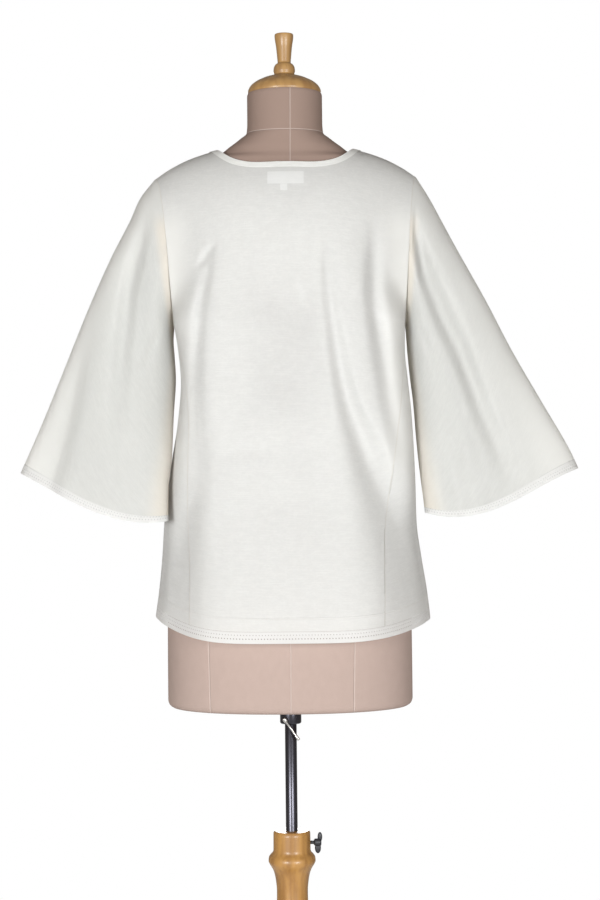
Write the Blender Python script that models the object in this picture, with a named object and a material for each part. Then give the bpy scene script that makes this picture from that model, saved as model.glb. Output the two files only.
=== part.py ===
"""A kurta tunic of ivory cotton, worn by a limbless dress form on a turned wooden stand.

Metres, +Z up. The origin is the middle of the base's underside, on the floor. The tunic's
back faces -Y, its front +Y, and +X is the right-hand side seen from behind.
"""

import math

import bmesh
import bpy
import numpy as np
from mathutils import Matrix, Vector

# Cloth
WALL = 0.0016
TRIM_WALL = 0.0012
SEAM_GAP = 0.0003
LAID_GAP = 0.0010
BAND_WIDTH = 0.010
HEM_LACE_WIDTH = 0.016
CUFF_LACE_WIDTH = 0.011

# The tunic's body
UNDERARM_Z = 1.180
SHOULDER_TIP_X = 0.187
SHOULDER_TIP_Z = 1.390
SEAM_BEHIND_TOP = 0.008
ARMHOLE_HALF_DEPTH = 0.062
SECTION_POWER = 2.8
PROFILE_POWER = 0.9
RISE_POWER = 0.8
NECK_HALF_WIDTH = 0.0985
NECK_ROUNDNESS = 0.45
BACK_NECK_T = 0.627
FRONT_NECK_T = 0.440
SIDE_OPEN = 0.99
UNDERARM_CLOSES = 0.03

# The form and its stand
BASE_RADIUS = 0.175
COLUMN_FOOT_Z = 0.0553
COLUMN_TOP_Z = 0.460
BORE_RADIUS = 0.0088
BORE_FLOOR_Z = 0.068
POLE_RADIUS = 0.0084
POLE_FOOT_Z = 0.210
POLE_HEAD_Z = 0.634
SOCKET_RADIUS = 0.0152
SOCKET_FOOT_Z = 0.613
SOCKET_HEAD_Z = 0.6397
SOCKET_BORE_TOP_Z = 0.6345
FORM_FOOT_Z = 0.640
NECK_TOP_Z = 1.5115
CAP_FOOT_Z = 1.5118
SCREW_Z = 0.4425
SCREW_RADIUS = 0.0025
SCREW_HOLE_RADIUS = 0.0028
WING_SPAN = 0.030
WING_THICKNESS = 0.004


def table(columns, *rows):
    """A short table: each named column as an array, read by its first column."""
    return dict(zip(columns.split(), np.array(rows, float).T))


# Half widths and depths of the body at heights below the underarm
BODY = table(
    "z left right back front",
    (0.700, 0.198, 0.206, 0.158, 0.156),
    (0.769, 0.191, 0.2005, 0.150, 0.148),
    (0.803, 0.1863, 0.1966, 0.144, 0.143),
    (0.846, 0.1816, 0.1898, 0.137, 0.138),
    (0.900, 0.1775, 0.1828, 0.130, 0.133),
    (0.974, 0.1680, 0.1805, 0.121, 0.128),
    (1.047, 0.1560, 0.1770, 0.115, 0.125),
    (1.100, 0.1515, 0.1720, 0.114, 0.128),
    (1.145, 0.1550, 0.1680, 0.116, 0.133),
    (1.200, 0.1640, 0.1690, 0.119, 0.137),
)
# Height of the shoulders' top, from the middle of the neck out
RIDGE = table(
    "x height",
    (0.0, 1.4410),
    (0.060, 1.4375),
    (0.0985, 1.4302),
    (0.1367, 1.4185),
    (0.1654, 1.4045),
    (0.187, 1.3900),
)
# The hem is lowest at the middles of back and front, and rises round the sides
HEM = table("across back front", (-1.0, 0.786, 0.786), (0.0, 0.758, 0.762), (1.0, 0.779, 0.779))
HEM_RISE_POWER = 4
# Where the side gores are sewn, as a share of the way round to the side
GORE = table(
    "rise left right",
    (-0.10, 0.49, 0.435),
    (0.0, 0.51, 0.45),
    (0.30, 0.57, 0.52),
    (0.63, 0.67, 0.66),
    (0.85, 0.82, 0.82),
    (1.0, SIDE_OPEN, SIDE_OPEN),
)
# The sleeves: the line of the outer edge and of the inner edge, from shoulder to cuff
SLEEVE_LEFT = table(
    "s outer_x outer_y outer_z inner_x inner_y inner_z depth sag",
    (0.0, 0.187, 0.000, 1.3900, 0.1605, 0.000, 1.180, 0.062, 0.0),
    (0.077, 0.2087, 0.000, 1.3628, 0.1615, -0.001, 1.159, 0.062, 0.0),
    (0.149, 0.2225, 0.000, 1.3330, 0.1600, -0.003, 1.139, 0.062, 0.001),
    (0.270, 0.2480, -0.002, 1.2835, 0.1580, -0.008, 1.106, 0.060, 0.002),
    (0.460, 0.2840, -0.005, 1.2040, 0.1603, -0.026, 1.054, 0.056, 0.006),
    (0.676, 0.3215, -0.009, 1.1120, 0.1617, -0.052, 0.995, 0.050, 0.0100),
    (0.838, 0.3500, -0.012, 1.0430, 0.1660, -0.068, 0.951, 0.045, 0.0134),
    (1.0, 0.3804, -0.015, 0.9747, 0.1660, -0.078, 0.9066, 0.040, 0.0168),
)
SLEEVE_RIGHT = table(
    "s outer_x outer_y outer_z inner_x inner_y inner_z depth sag",
    (0.0, 0.187, 0.000, 1.3900, 0.1690, 0.000, 1.180, 0.062, 0.0),
    (0.081, 0.2070, 0.000, 1.3580, 0.1702, -0.001, 1.159, 0.062, 0.0),
    (0.150, 0.2222, 0.000, 1.3293, 0.1712, -0.003, 1.140, 0.062, 0.001),
    (0.252, 0.2447, -0.002, 1.2861, 0.1734, -0.006, 1.112, 0.060, 0.0025),
    (0.425, 0.2838, -0.005, 1.2143, 0.1780, -0.014, 1.066, 0.056, 0.006),
    (0.595, 0.3202, -0.008, 1.1424, 0.1808, -0.022, 1.021, 0.052, 0.010),
    (0.769, 0.3608, -0.011, 1.0704, 0.1848, -0.030, 0.974, 0.047, 0.014),
    (0.943, 0.4014, -0.014, 0.9986, 0.1900, -0.036, 0.928, 0.042, 0.018),
    (1.0, 0.4125, -0.015, 0.9741, 0.1915, -0.038, 0.9132, 0.040, 0.0189),
)
# How far the sag of a sleeve's underside leans to its inner edge, by hand
SAG_LEAN = {-1: 0.60, 1: 0.90}
# The largest folds: troughs have a positive depth and ridges a negative one
BACK_FOLDS = (
    table(
        "z x depth width",
        (0.740, 0.128, 0.004, 0.012),
        (0.797, 0.127, 0.005, 0.012),
        (0.841, 0.117, 0.007, 0.014),
        (0.905, 0.104, 0.009, 0.016),
        (0.982, 0.077, 0.009, 0.016),
        (1.056, 0.068, 0.009, 0.014),
        (1.183, 0.056, 0.006, 0.012),
        (1.269, 0.0525, 0.003, 0.009),
        (1.320, 0.056, 0.0, 0.008),
    ),
    table(
        "z x depth width",
        (0.930, 0.145, 0.0, 0.012),
        (0.988, 0.131, -0.005, 0.014),
        (1.084, 0.099, -0.005, 0.014),
        (1.150, 0.090, 0.0, 0.012),
    ),
    table(
        "z x depth width",
        (1.000, 0.138, 0.0, 0.012),
        (1.080, 0.1285, 0.006, 0.011),
        (1.180, 0.121, 0.007, 0.010),
        (1.260, 0.119, 0.004, 0.009),
        (1.320, 0.1185, 0.0, 0.008),
    ),
    table(
        "z x depth width",
        (0.740, -0.136, 0.004, 0.012),
        (0.843, -0.1306, 0.004, 0.012),
        (0.900, -0.124, 0.006, 0.013),
        (0.983, -0.1155, 0.007, 0.014),
        (1.108, -0.126, 0.005, 0.012),
        (1.184, -0.120, 0.007, 0.012),
        (1.255, -0.107, 0.004, 0.011),
        (1.310, -0.108, 0.0, 0.009),
    ),
)
FRONT_FOLDS = (
    table(
        "z x depth width",
        (0.740, 0.082, 0.008, 0.018),
        (0.900, 0.078, 0.009, 0.018),
        (1.050, 0.072, 0.006, 0.014),
        (1.170, 0.068, 0.0, 0.011),
    ),
    table(
        "z x depth width",
        (0.740, -0.094, 0.008, 0.018),
        (0.880, -0.088, 0.008, 0.018),
        (1.030, -0.076, 0.007, 0.014),
        (1.190, -0.072, 0.0, 0.011),
    ),
    table(
        "z x depth width",
        (0.740, 0.010, 0.005, 0.018),
        (0.860, 0.004, 0.004, 0.016),
        (0.980, -0.002, 0.0, 0.013),
    ),
)
SLEEVE_FOLDS_LEFT = (
    table(
        "s across depth width",
        (0.04, 0.40, 0.0, 0.20),
        (0.18, 0.32, 0.007, 0.24),
        (0.36, -0.08, 0.006, 0.22),
        (0.55, -0.30, 0.0, 0.18),
    ),
    table(
        "s across depth width",
        (0.50, 0.92, 0.0, 0.14),
        (0.68, 0.64, -0.006, 0.16),
        (0.85, 0.40, -0.007, 0.16),
        (1.05, 0.17, -0.006, 0.16),
    ),
)
SLEEVE_FOLDS_RIGHT = (
    table(
        "s across depth width",
        (0.03, 0.30, 0.0, 0.20),
        (0.15, 0.22, 0.008, 0.24),
        (0.45, 0.24, 0.009, 0.24),
        (0.80, 0.20, 0.004, 0.22),
        (0.98, 0.18, 0.0, 0.20),
    ),
    table(
        "s across depth width",
        (0.55, -0.40, 0.0, 0.20),
        (0.80, -0.42, 0.005, 0.22),
        (1.05, -0.45, 0.006, 0.22),
    ),
)
FORM = table(
    "z half_width back front middle",
    (0.6400, 0.1680, 0.1060, 0.1040, 0.0),
    (0.6430, 0.1722, 0.1102, 0.1082, 0.0),
    (0.6500, 0.1743, 0.1125, 0.1105, 0.0),
    (0.7700, 0.1738, 0.1130, 0.1090, 0.0),
    (0.8600, 0.1700, 0.1120, 0.1080, 0.0),
    (0.9500, 0.1500, 0.1030, 0.1000, 0.0),
    (1.0200, 0.1290, 0.0920, 0.0920, 0.0),
    (1.0640, 0.1210, 0.0860, 0.0880, 0.0),
    (1.1200, 0.1260, 0.0880, 0.1000, 0.0),
    (1.1800, 0.1380, 0.0940, 0.1160, 0.0),
    (1.2500, 0.1480, 0.0985, 0.1240, 0.0),
    (1.3000, 0.1540, 0.0985, 0.1150, 0.0),
    (1.3400, 0.1580, 0.0900, 0.0980, -0.0010),
    (1.3680, 0.1612, 0.0770, 0.0830, -0.0030),
    (1.3880, 0.1610, 0.0650, 0.0725, -0.0060),
    (1.3975, 0.1590, 0.0590, 0.0675, -0.0070),
    (1.4045, 0.1545, 0.0550, 0.0640, -0.0075),
    (1.4084, 0.1495, 0.0530, 0.0620, -0.0075),
    (1.4145, 0.1350, 0.0510, 0.0595, -0.0075),
    (1.4178, 0.1190, 0.0505, 0.0580, -0.0065),
    (1.4215, 0.0985, 0.0505, 0.0562, -0.0050),
    (1.4350, 0.0793, 0.0525, 0.0550, -0.0020),
    (1.4460, 0.0650, 0.0541, 0.0541, 0.0),
    (1.4550, 0.0548, 0.0538, 0.0538, 0.0),
    (1.4700, 0.0536, 0.0536, 0.0536, 0.0),
    (1.5080, 0.0535, 0.0535, 0.0535, 0.0),
    (NECK_TOP_Z, 0.0525, 0.0525, 0.0525, 0.0),
)
FORM_SECTION_POWER = 2.2

# Turned profiles, as heights and radii
CAP_PROFILE = (
    (CAP_FOOT_Z, 0.0516),
    (1.5140, 0.0522),
    (1.5165, 0.0518),
    (1.5190, 0.0508),
    (1.5225, 0.0486),
    (1.5260, 0.0448),
    (1.5290, 0.0404),
    (1.5315, 0.0352),
    (1.5340, 0.0298),
    (1.5362, 0.0228),
    (1.5382, 0.0160),
    (1.5400, 0.0144),
    (1.5440, 0.0154),
    (1.5485, 0.0150),
    (1.5530, 0.0130),
    (1.5565, 0.0094),
    (1.5620, 0.0098),
    (1.5780, 0.0113),
    (1.5945, 0.0134),
    (1.5968, 0.0130),
    (1.5975, 0.0105),
)
COLUMN_PROFILE = (
    (COLUMN_FOOT_Z, 0.0330),
    (0.0640, 0.0350),
    (0.0740, 0.0335),
    (0.0820, 0.0270),
    (0.1100, 0.0255),
    (0.1600, 0.0300),
    (0.2200, 0.0325),
    (0.2900, 0.0290),
    (0.3500, 0.0226),
    (0.3740, 0.0221),
    (0.3890, 0.0234),
    (0.4000, 0.0256),
    (0.4060, 0.0279),
    (0.4120, 0.0316),
    (0.4165, 0.0336),
    (0.4210, 0.0335),
    (0.4255, 0.0310),
    (0.4310, 0.0266),
    (0.4570, 0.0263),
    (COLUMN_TOP_Z, 0.0242),
)
BASE_PROFILE = (
    (0.0, 0.1720),
    (0.0030, BASE_RADIUS),
    (0.0140, BASE_RADIUS),
    (0.0200, 0.1710),
    (0.0240, 0.1600),
    (0.0290, 0.1100),
    (0.0360, 0.0650),
    (0.0450, 0.0480),
    (0.0510, 0.0450),
    (0.0550, 0.0420),
)

# Colour, roughness and metallic value of each finish
FINISHES = {
    "ivory_cloth": ((0.86, 0.84, 0.79), 0.85, 0.0),
    "ivory_lace": ((0.90, 0.87, 0.82), 0.85, 0.0),
    "label_cloth": ((0.90, 0.89, 0.86), 0.8, 0.0),
    "form_cover": ((0.62, 0.44, 0.38), 0.9, 0.0),
    "turned_wood": ((0.55, 0.33, 0.15), 0.4, 0.0),
    "pole_steel": ((0.12, 0.12, 0.14), 0.35, 1.0),
    "screw_black": ((0.02, 0.02, 0.025), 0.4, 0.0),
}


def clear_scene():
    for obj in list(bpy.data.objects):
        bpy.data.objects.remove(obj, do_unlink=True)


def finish(name):
    made = bpy.data.materials.get(name)
    if made is None:
        made = bpy.data.materials.new(name)
        made.use_nodes = True
        shader = made.node_tree.nodes["Principled BSDF"]
        colour, roughness, metallic = FINISHES[name]
        shader.inputs["Base Color"].default_value = (*colour, 1.0)
        shader.inputs["Roughness"].default_value = roughness
        shader.inputs["Metallic"].default_value = metallic
    return made


def add_part(name, bm, slot):
    """The finished mesh as an object of its own, its faces pointing out."""
    bmesh.ops.recalc_face_normals(bm, faces=bm.faces[:])
    mesh = bpy.data.meshes.new(name)
    bm.to_mesh(mesh)
    bm.free()
    mesh.shade_smooth()
    mesh.set_sharp_from_angle(angle=math.radians(40))
    obj = bpy.data.objects.new(name, mesh)
    bpy.context.scene.collection.objects.link(obj)
    mesh.materials.append(finish(slot))
    return obj


def along(rows, column, at):
    """One column of a table, read smoothly and with no overshoot at values of its first."""
    keys = next(iter(rows.values()))
    values = rows[column]
    rise = np.diff(values) / np.diff(keys)
    both = rise[:-1] * rise[1:]
    middle = np.divide(2 * both, rise[:-1] + rise[1:], out=np.zeros_like(both), where=both > 0)
    slopes = np.concatenate([rise[:1], middle, rise[-1:]])
    at = np.clip(at, keys[0], keys[-1])
    i = np.clip(np.searchsorted(keys, at) - 1, 0, len(keys) - 2)
    step = keys[i + 1] - keys[i]
    f = (at - keys[i]) / step
    ease = f * f * (3 - 2 * f)
    into = f * (1 - f) ** 2 * step * slopes[i]
    out = f * f * (f - 1) * step * slopes[i + 1]
    return values[i] * (1 - ease) + values[i + 1] * ease + into + out


def signed_power(value, power):
    return np.sign(value) * np.abs(value) ** power


def fold_relief(folds, key, place, across):
    """How far the folds push the cloth in, at a place along them and across them."""
    total = np.zeros(np.broadcast(place, across).shape)
    for fold in folds:
        keys = next(iter(fold.values()))
        line = along(fold, key, place)
        width = along(fold, "width", place)
        inside = (place >= keys[0]) & (place <= keys[-1])
        depth = np.where(inside, along(fold, "depth", place), 0.0)
        total = total + depth * np.exp(-(((across - line) / width) ** 2))
    return total


def body_surface(side, w, v):
    """The outside of the tunic's body.

    side is -1 behind and +1 in front. w runs from -1 at the left side to +1 at the right,
    and past them on to the other side. v is 0 at the hem, 1 at the underarm and 2 on the
    shoulders' top.
    """
    side, w, v = np.broadcast_arrays(np.asarray(side, float), w, v)
    over = (np.abs(w) > 1) & (v <= 1)
    side = np.where(over, -side, side)
    w = np.where(over, np.sign(w) * (2 - np.abs(w)), np.clip(w, -1, 1))
    hand = np.where(w < 0, -1.0, 1.0)
    reach = np.sin(np.abs(w) * math.pi / 2)
    deep = np.maximum(1 - reach**SECTION_POWER, 0) ** (1 / SECTION_POWER)

    rise = np.minimum(v, 1)
    back_hem = np.where(hand < 0, HEM["back"][0], HEM["back"][2])
    middle = np.where(side < 0, HEM["back"][1], HEM["front"][1])
    hem = middle + (back_hem - middle) * reach**HEM_RISE_POWER
    z_low = hem + rise * (UNDERARM_Z - hem)
    half = np.where(hand < 0, along(BODY, "left", z_low), along(BODY, "right", z_low))
    depth = np.where(side < 0, along(BODY, "back", z_low), along(BODY, "front", z_low))

    t = np.maximum(v - 1, 0)
    turn = t * math.pi / 2
    half_up = half + (SHOULDER_TIP_X - half) * t**2.2
    ridge = along(RIDGE, "height", SHOULDER_TIP_X * reach)
    rise_power = RISE_POWER * deep + 2 * (1 - deep)
    z_up = UNDERARM_Z + (ridge - UNDERARM_Z) * np.sin(turn) ** rise_power
    y_up = depth * signed_power(np.cos(turn), PROFILE_POWER) * deep
    y_up = side * (y_up + ARMHOLE_HALF_DEPTH * np.sin(2 * turn) * (1 - deep))

    x = hand * reach * half_up
    y = y_up - SEAM_BEHIND_TOP * t**3
    z = np.where(v <= 1, z_low, z_up)
    back_relief = fold_relief(BACK_FOLDS, "x", z, x)
    front_relief = fold_relief(FRONT_FOLDS, "x", z, x)
    relief = np.where(side < 0, back_relief, front_relief)
    y = y - side * relief * np.minimum(1.4 * deep, 1)
    return np.stack([x, y, z], axis=-1)


def sleeve_rows(hand):
    return SLEEVE_LEFT if hand < 0 else SLEEVE_RIGHT


def plain_sleeve(hand, s, theta):
    rows = sleeve_rows(hand)
    outer = np.stack([along(rows, f"outer_{k}", s) for k in "xyz"], axis=-1)
    inner = np.stack([along(rows, f"inner_{k}", s) for k in "xyz"], axis=-1)
    middle, half = (outer + inner) / 2, (outer - inner) / 2
    length = np.hypot(half[..., 0], half[..., 2])
    down = np.stack([half[..., 2], 0 * length, -half[..., 0]], axis=-1) / length[..., None]
    c, q = np.cos(theta), np.sin(theta)
    sag = along(rows, "sag", s) * q * q * (1 - SAG_LEAN[hand] * c)
    point = middle + half * c[..., None] + down * sag[..., None]
    point[..., 1] -= along(rows, "depth", s) * signed_power(q, 1 + 0.25 * s)
    point[..., 0] *= hand
    return point


def armhole(hand, theta):
    """The armhole's edge, from the shoulder's tip down the back and up the front."""
    back = theta <= math.pi
    t = np.where(back, 1 - theta / math.pi, theta / math.pi - 1)
    point = body_surface(np.where(back, -1.0, 1.0), hand * np.ones_like(theta), 1 + t)
    point[..., 0] += hand * SEAM_GAP
    return point


def sleeve_surface(hand, s, theta):
    """The outside of a sleeve: s runs from armhole to cuff, theta once round it."""
    s, theta = np.broadcast_arrays(np.asarray(s, float), theta)
    theta = np.mod(theta, 2 * math.pi)
    point = plain_sleeve(hand, s, theta)
    start = armhole(hand, theta) - plain_sleeve(hand, np.zeros_like(s), theta)
    point = point + start * (np.maximum(1 - s / 0.35, 0) ** 2)[..., None]
    folds = SLEEVE_FOLDS_LEFT if hand < 0 else SLEEVE_FOLDS_RIGHT
    relief = fold_relief(folds, "across", s, np.cos(theta))
    point[..., 1] += relief * np.sin(theta) * 1.2
    return point


def outward(surface, a, b, step=1e-3):
    """Unit normals of a surface of two variables."""
    da = surface(a + step, b) - surface(a - step, b)
    db = surface(a, b + step) - surface(a, b - step)
    normal = np.cross(da, db)
    return normal / np.linalg.norm(normal, axis=-1, keepdims=True)


def flat_net(rows, columns, closed):
    """A net of quads whose corners know their row and column; a closed one is a tube."""
    bm = bmesh.new()
    last = columns if closed else columns - 1
    bmesh.ops.create_grid(bm, x_segments=last, y_segments=rows - 1, size=0.5)
    row, column = bm.verts.layers.int.new("row"), bm.verts.layers.int.new("column")
    for vert in bm.verts:
        vert[row] = round((vert.co.y + 0.5) * (rows - 1))
        vert[column] = round((vert.co.x + 0.5) * last) % columns
        turn = 2 * math.pi * vert[column] / columns
        if closed:
            vert.co = (math.cos(turn), math.sin(turn), vert[row])
    if closed:
        bmesh.ops.remove_doubles(bm, verts=bm.verts[:], dist=1e-5)
    return bm, row, column


def cloth_wall(name, inside, outside, closed, slot):
    """A wall between two nets of points of the same rows and columns."""
    bm, row, column = flat_net(*inside.shape[:2], closed)
    made = bmesh.ops.extrude_face_region(bm, geom=bm.faces[:])["geom"]
    raised = {item for item in made if isinstance(item, bmesh.types.BMVert)}
    for vert in bm.verts:
        points = outside if vert in raised else inside
        vert.co = points[vert[row], vert[column]]
    bmesh.ops.recalc_face_normals(bm, faces=bm.faces[:])
    bmesh.ops.triangulate(bm, faces=bm.faces[:], quad_method="FIXED")
    return add_part(name, bm, slot)


def body_wall(name, side, w, v, slot="ivory_cloth", lift=0.0, thickness=WALL, closed=False):
    """A wall on the body's surface; lift moves its outside out from that surface."""
    normal = outward(lambda a, b: body_surface(side, a, b), w, v) * -side
    points = body_surface(side, w, v)
    outside = points + normal * lift
    return cloth_wall(name, outside - normal * thickness, outside, closed, slot)


def neckline(nu):
    """w and v of the neck's edge: nu is 0 at the middle and 90 degrees at the shoulder."""
    reach = NECK_HALF_WIDTH / SHOULDER_TIP_X * np.abs(np.sin(nu)) ** NECK_ROUNDNESS
    return np.sign(np.sin(nu)) * np.arcsin(reach) / (math.pi / 2)


def panel(name, side, half_columns, neck_columns, low_rows, high_rows, neck_t):
    """The back or the front, from the hem to the shoulder seams and the neck's edge."""
    index = np.arange(-half_columns, half_columns + 1)
    share = index / half_columns
    nu = signed_power(np.clip(index / neck_columns, -1, 1), 0.85) * math.pi / 2
    neck_w = neckline(nu)
    corner = neck_w[-1]
    beyond = (np.abs(index) - neck_columns) / (half_columns - neck_columns)
    on_shoulder = np.sign(index) * (corner + (1 - corner) * beyond)
    top_w = np.where(np.abs(index) <= neck_columns, neck_w, on_shoulder)
    ridge_v = 2 - 0.0012
    top_v = np.where(np.abs(index) < neck_columns, 2 - (1 - neck_t) * np.cos(nu), ridge_v)

    low = np.linspace(0, 1, low_rows, endpoint=False)
    edge_left = -along(GORE, "left", low) + 0.0012
    edge_right = along(GORE, "right", low) - 0.0012
    spread = (share + 1) / 2
    w_low = edge_left[:, None] + (edge_right - edge_left)[:, None] * spread
    v_low = np.repeat(low[:, None], len(index), axis=1)

    high = np.linspace(0, 1, high_rows)
    open_w = np.minimum(SIDE_OPEN + high / UNDERARM_CLOSES * (1 - SIDE_OPEN), 1)
    w_high = (share * (1 - high)[:, None] + top_w * high[:, None]) * open_w[:, None]
    v_high = 1 + (top_v - 1) * high[:, None]
    w, v = np.vstack([w_low, w_high]), np.vstack([v_low, v_high])
    return body_wall(name, side, w, v)


def side_gore(name, hand, rows, columns):
    """A side gore, from its seam on the back round the side to its seam on the front."""
    v = np.linspace(0, 1, rows)[:, None] * np.ones(columns)
    v[-1] -= 0.0008
    edge = along(GORE, "left" if hand < 0 else "right", v[:, :1])
    share = np.linspace(0, 1, columns)
    start, end = edge + 0.0012, 2 - edge - 0.0012
    w = hand * (start + (end - start) * share)
    return body_wall(name, -1.0, w, v)


def sleeve_wall(name, hand, s, columns, slot="ivory_cloth", thickness=WALL):
    theta = np.arange(columns) / columns * 2 * math.pi
    s, theta = np.meshgrid(s, theta, indexing="ij")
    points = sleeve_surface(hand, s, theta)
    normal = outward(lambda a, b: sleeve_surface(hand, a, b), np.maximum(s, 2e-3), theta)
    away = points - points.mean(axis=1, keepdims=True)
    normal *= np.sign((normal * away).sum(axis=-1, keepdims=True).mean())
    at_armhole = s[:, :1] == 0
    inward_x = np.where(at_armhole, np.minimum(normal[..., 0] * hand, 0) * hand, normal[..., 0])
    normal[..., 0] = inward_x
    normal /= np.linalg.norm(normal, axis=-1, keepdims=True)
    return cloth_wall(name, points - normal * thickness, points, True, slot)


def walk(side, w, v, heading, distance):
    """New w and v after a short step over the body's surface in a heading."""
    step = 1e-3
    dw = (body_surface(side, w + step, v) - body_surface(side, w - step, v)) / (2 * step)
    dv = (body_surface(side, w, v + step) - body_surface(side, w, v - step)) / (2 * step)
    ww, wv, vv = (dw * dw).sum(-1), (dw * dv).sum(-1), (dv * dv).sum(-1)
    hw, hv = (heading * dw).sum(-1) * distance, (heading * dv).sum(-1) * distance
    whole = ww * vv - wv * wv
    return w + (hw * vv - hv * wv) / whole, v + (hv * ww - hw * wv) / whole


def neck_binding(columns, rows):
    """The band that binds the neck's edge, lying on back and front."""
    nu = (np.arange(columns) + 0.5) / columns * 2 * math.pi
    side = np.where(np.cos(nu) > 0, -1.0, 1.0)
    neck_t = np.where(side < 0, BACK_NECK_T, FRONT_NECK_T)
    w, v = neckline(nu), 2 - (1 - neck_t) * np.abs(np.cos(nu))
    inside, outside = [], []
    for _ in range(rows):
        points = body_surface(side, w, v)
        normal = outward(lambda a, b: body_surface(side, a, b), w, v) * -side[:, None]
        inside.append(points + normal * LAID_GAP)
        outside.append(points + normal * (LAID_GAP + TRIM_WALL))
        tangent = np.roll(points, -1, axis=0) - np.roll(points, 1, axis=0)
        heading = np.cross(tangent, normal)
        heading *= np.sign((heading * (points - points.mean(axis=0))).sum(-1))[:, None]
        heading /= np.linalg.norm(heading, axis=-1, keepdims=True)
        w, v = walk(side, w, v, heading, BAND_WIDTH / (rows - 1))
    return cloth_wall("neck_binding", np.array(inside), np.array(outside), True, "ivory_cloth")


def back_patch(name, x, z, columns, rows, lift):
    """A small rectangle of cloth behind the back panel, between two x and two heights."""
    ridge = along(RIDGE, "height", 0.0)
    x, z = np.meshgrid(np.linspace(*x, columns), np.linspace(*z, rows))
    rise = (z - UNDERARM_Z) / (ridge - UNDERARM_Z)
    t = np.arcsin(rise ** (1 / RISE_POWER)) / (math.pi / 2)
    reach = np.abs(x) / (0.166 + 0.021 * t**2.2)
    w = np.sign(x) * np.arcsin(reach) / (math.pi / 2)
    return body_wall(name, -1.0, w, 1 + t, "label_cloth", lift=lift, thickness=0.001)


def dress_form(columns):
    """The form's covered torso and neck, as one closed solid of smooth sections."""
    z = np.concatenate([FORM["z"][:2], np.linspace(0.650, 1.380, 14), FORM["z"][14:]])
    turn = np.arange(columns) / columns * 2 * math.pi
    z, turn = np.meshgrid(z, turn, indexing="ij")
    power = np.where(z < 1.44, 2 / FORM_SECTION_POWER, 1.0)
    x = along(FORM, "half_width", z) * signed_power(np.sin(turn), power)
    depth = np.where(np.cos(turn) > 0, along(FORM, "back", z), along(FORM, "front", z))
    y = along(FORM, "middle", z) - depth * signed_power(np.cos(turn), power)
    points = np.stack([x, y, z], axis=-1)
    bm, row, column = flat_net(*z.shape, True)
    for vert in bm.verts:
        vert.co = points[vert[row], vert[column]]
    bmesh.ops.holes_fill(bm, edges=[e for e in bm.edges if e.is_boundary], sides=0)
    return add_part("dress_form", bm, "form_cover")


def turned(name, profile, steps, slot, axis_ends=True):
    """A solid turned about Z from (height, radius) points, closed on its axis."""
    bm = bmesh.new()
    points = [(radius, 0.0, z) for z, radius in profile]
    if axis_ends:
        points = [(0.0, 0.0, profile[0][0]), *points, (0.0, 0.0, profile[-1][0])]
    verts = [bm.verts.new(point) for point in points]
    edges = [bm.edges.new(pair) for pair in zip(verts, verts[1:])]
    if not axis_ends:
        edges.append(bm.edges.new((verts[-1], verts[0])))
    bmesh.ops.spin(
        bm,
        geom=verts + edges,
        cent=(0, 0, 0),
        axis=(0, 0, 1),
        angle=2 * math.pi,
        steps=steps,
        use_merge=True,
    )
    bmesh.ops.remove_doubles(bm, verts=bm.verts[:], dist=1e-6)
    return add_part(name, bm, slot)


def rod(name, start, end, radius, steps):
    """A plain round bar, used as it is or as a cutter."""
    start, end = Vector(start), Vector(end)
    bm = bmesh.new()
    bmesh.ops.create_cone(
        bm,
        cap_ends=True,
        segments=steps,
        radius1=radius,
        radius2=radius,
        depth=(end - start).length,
    )
    turn = (end - start).to_track_quat("Z", "Y").to_matrix().to_4x4()
    bmesh.ops.transform(bm, matrix=Matrix.Translation((start + end) / 2) @ turn, verts=bm.verts[:])
    return add_part(name, bm, "pole_steel")


def cut(obj, cutter):
    cutter.hide_render = True
    cutter.display_type = "WIRE"
    boolean = obj.modifiers.new("bore", "BOOLEAN")
    boolean.operation = "DIFFERENCE"
    boolean.object = cutter


def column():
    """The turned column, bored for the pole and drilled for the clamp screw."""
    profile = [(BORE_FLOOR_Z, BORE_RADIUS), (COLUMN_TOP_Z, BORE_RADIUS)]
    outline = [(COLUMN_FOOT_Z, 0.0), *COLUMN_PROFILE]
    bm = bmesh.new()
    points = [(radius, 0.0, z) for z, radius in outline + profile[::-1] + [(BORE_FLOOR_Z, 0.0)]]
    verts = [bm.verts.new(point) for point in points]
    edges = [bm.edges.new(pair) for pair in zip(verts, verts[1:])]
    bmesh.ops.spin(
        bm,
        geom=verts + edges,
        cent=(0, 0, 0),
        axis=(0, 0, 1),
        angle=2 * math.pi,
        steps=24,
        use_merge=True,
    )
    bmesh.ops.remove_doubles(bm, verts=bm.verts[:], dist=1e-6)
    wood = add_part("stand_column", bm, "turned_wood")
    hole = rod("screw_hole", (0.002, 0, SCREW_Z), (0.05, 0, SCREW_Z), SCREW_HOLE_RADIUS, 12)
    cut(wood, hole)
    return wood


def socket():
    """The steel socket under the form, with a blind bore for the pole's head."""
    profile = [
        (SOCKET_HEAD_Z, 0.0),
        (SOCKET_HEAD_Z, SOCKET_RADIUS),
        (SOCKET_FOOT_Z + 0.001, SOCKET_RADIUS),
        (SOCKET_FOOT_Z, SOCKET_RADIUS - 0.001),
        (SOCKET_FOOT_Z, BORE_RADIUS),
        (SOCKET_BORE_TOP_Z, BORE_RADIUS),
        (SOCKET_BORE_TOP_Z, 0.0),
    ]
    bm = bmesh.new()
    verts = [bm.verts.new((radius, 0.0, z)) for z, radius in profile]
    edges = [bm.edges.new(pair) for pair in zip(verts, verts[1:])]
    bmesh.ops.spin(
        bm,
        geom=verts + edges,
        cent=(0, 0, 0),
        axis=(0, 0, 1),
        angle=2 * math.pi,
        steps=24,
        use_merge=True,
    )
    bmesh.ops.remove_doubles(bm, verts=bm.verts[:], dist=1e-6)
    return add_part("form_socket", bm, "pole_steel")


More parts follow.
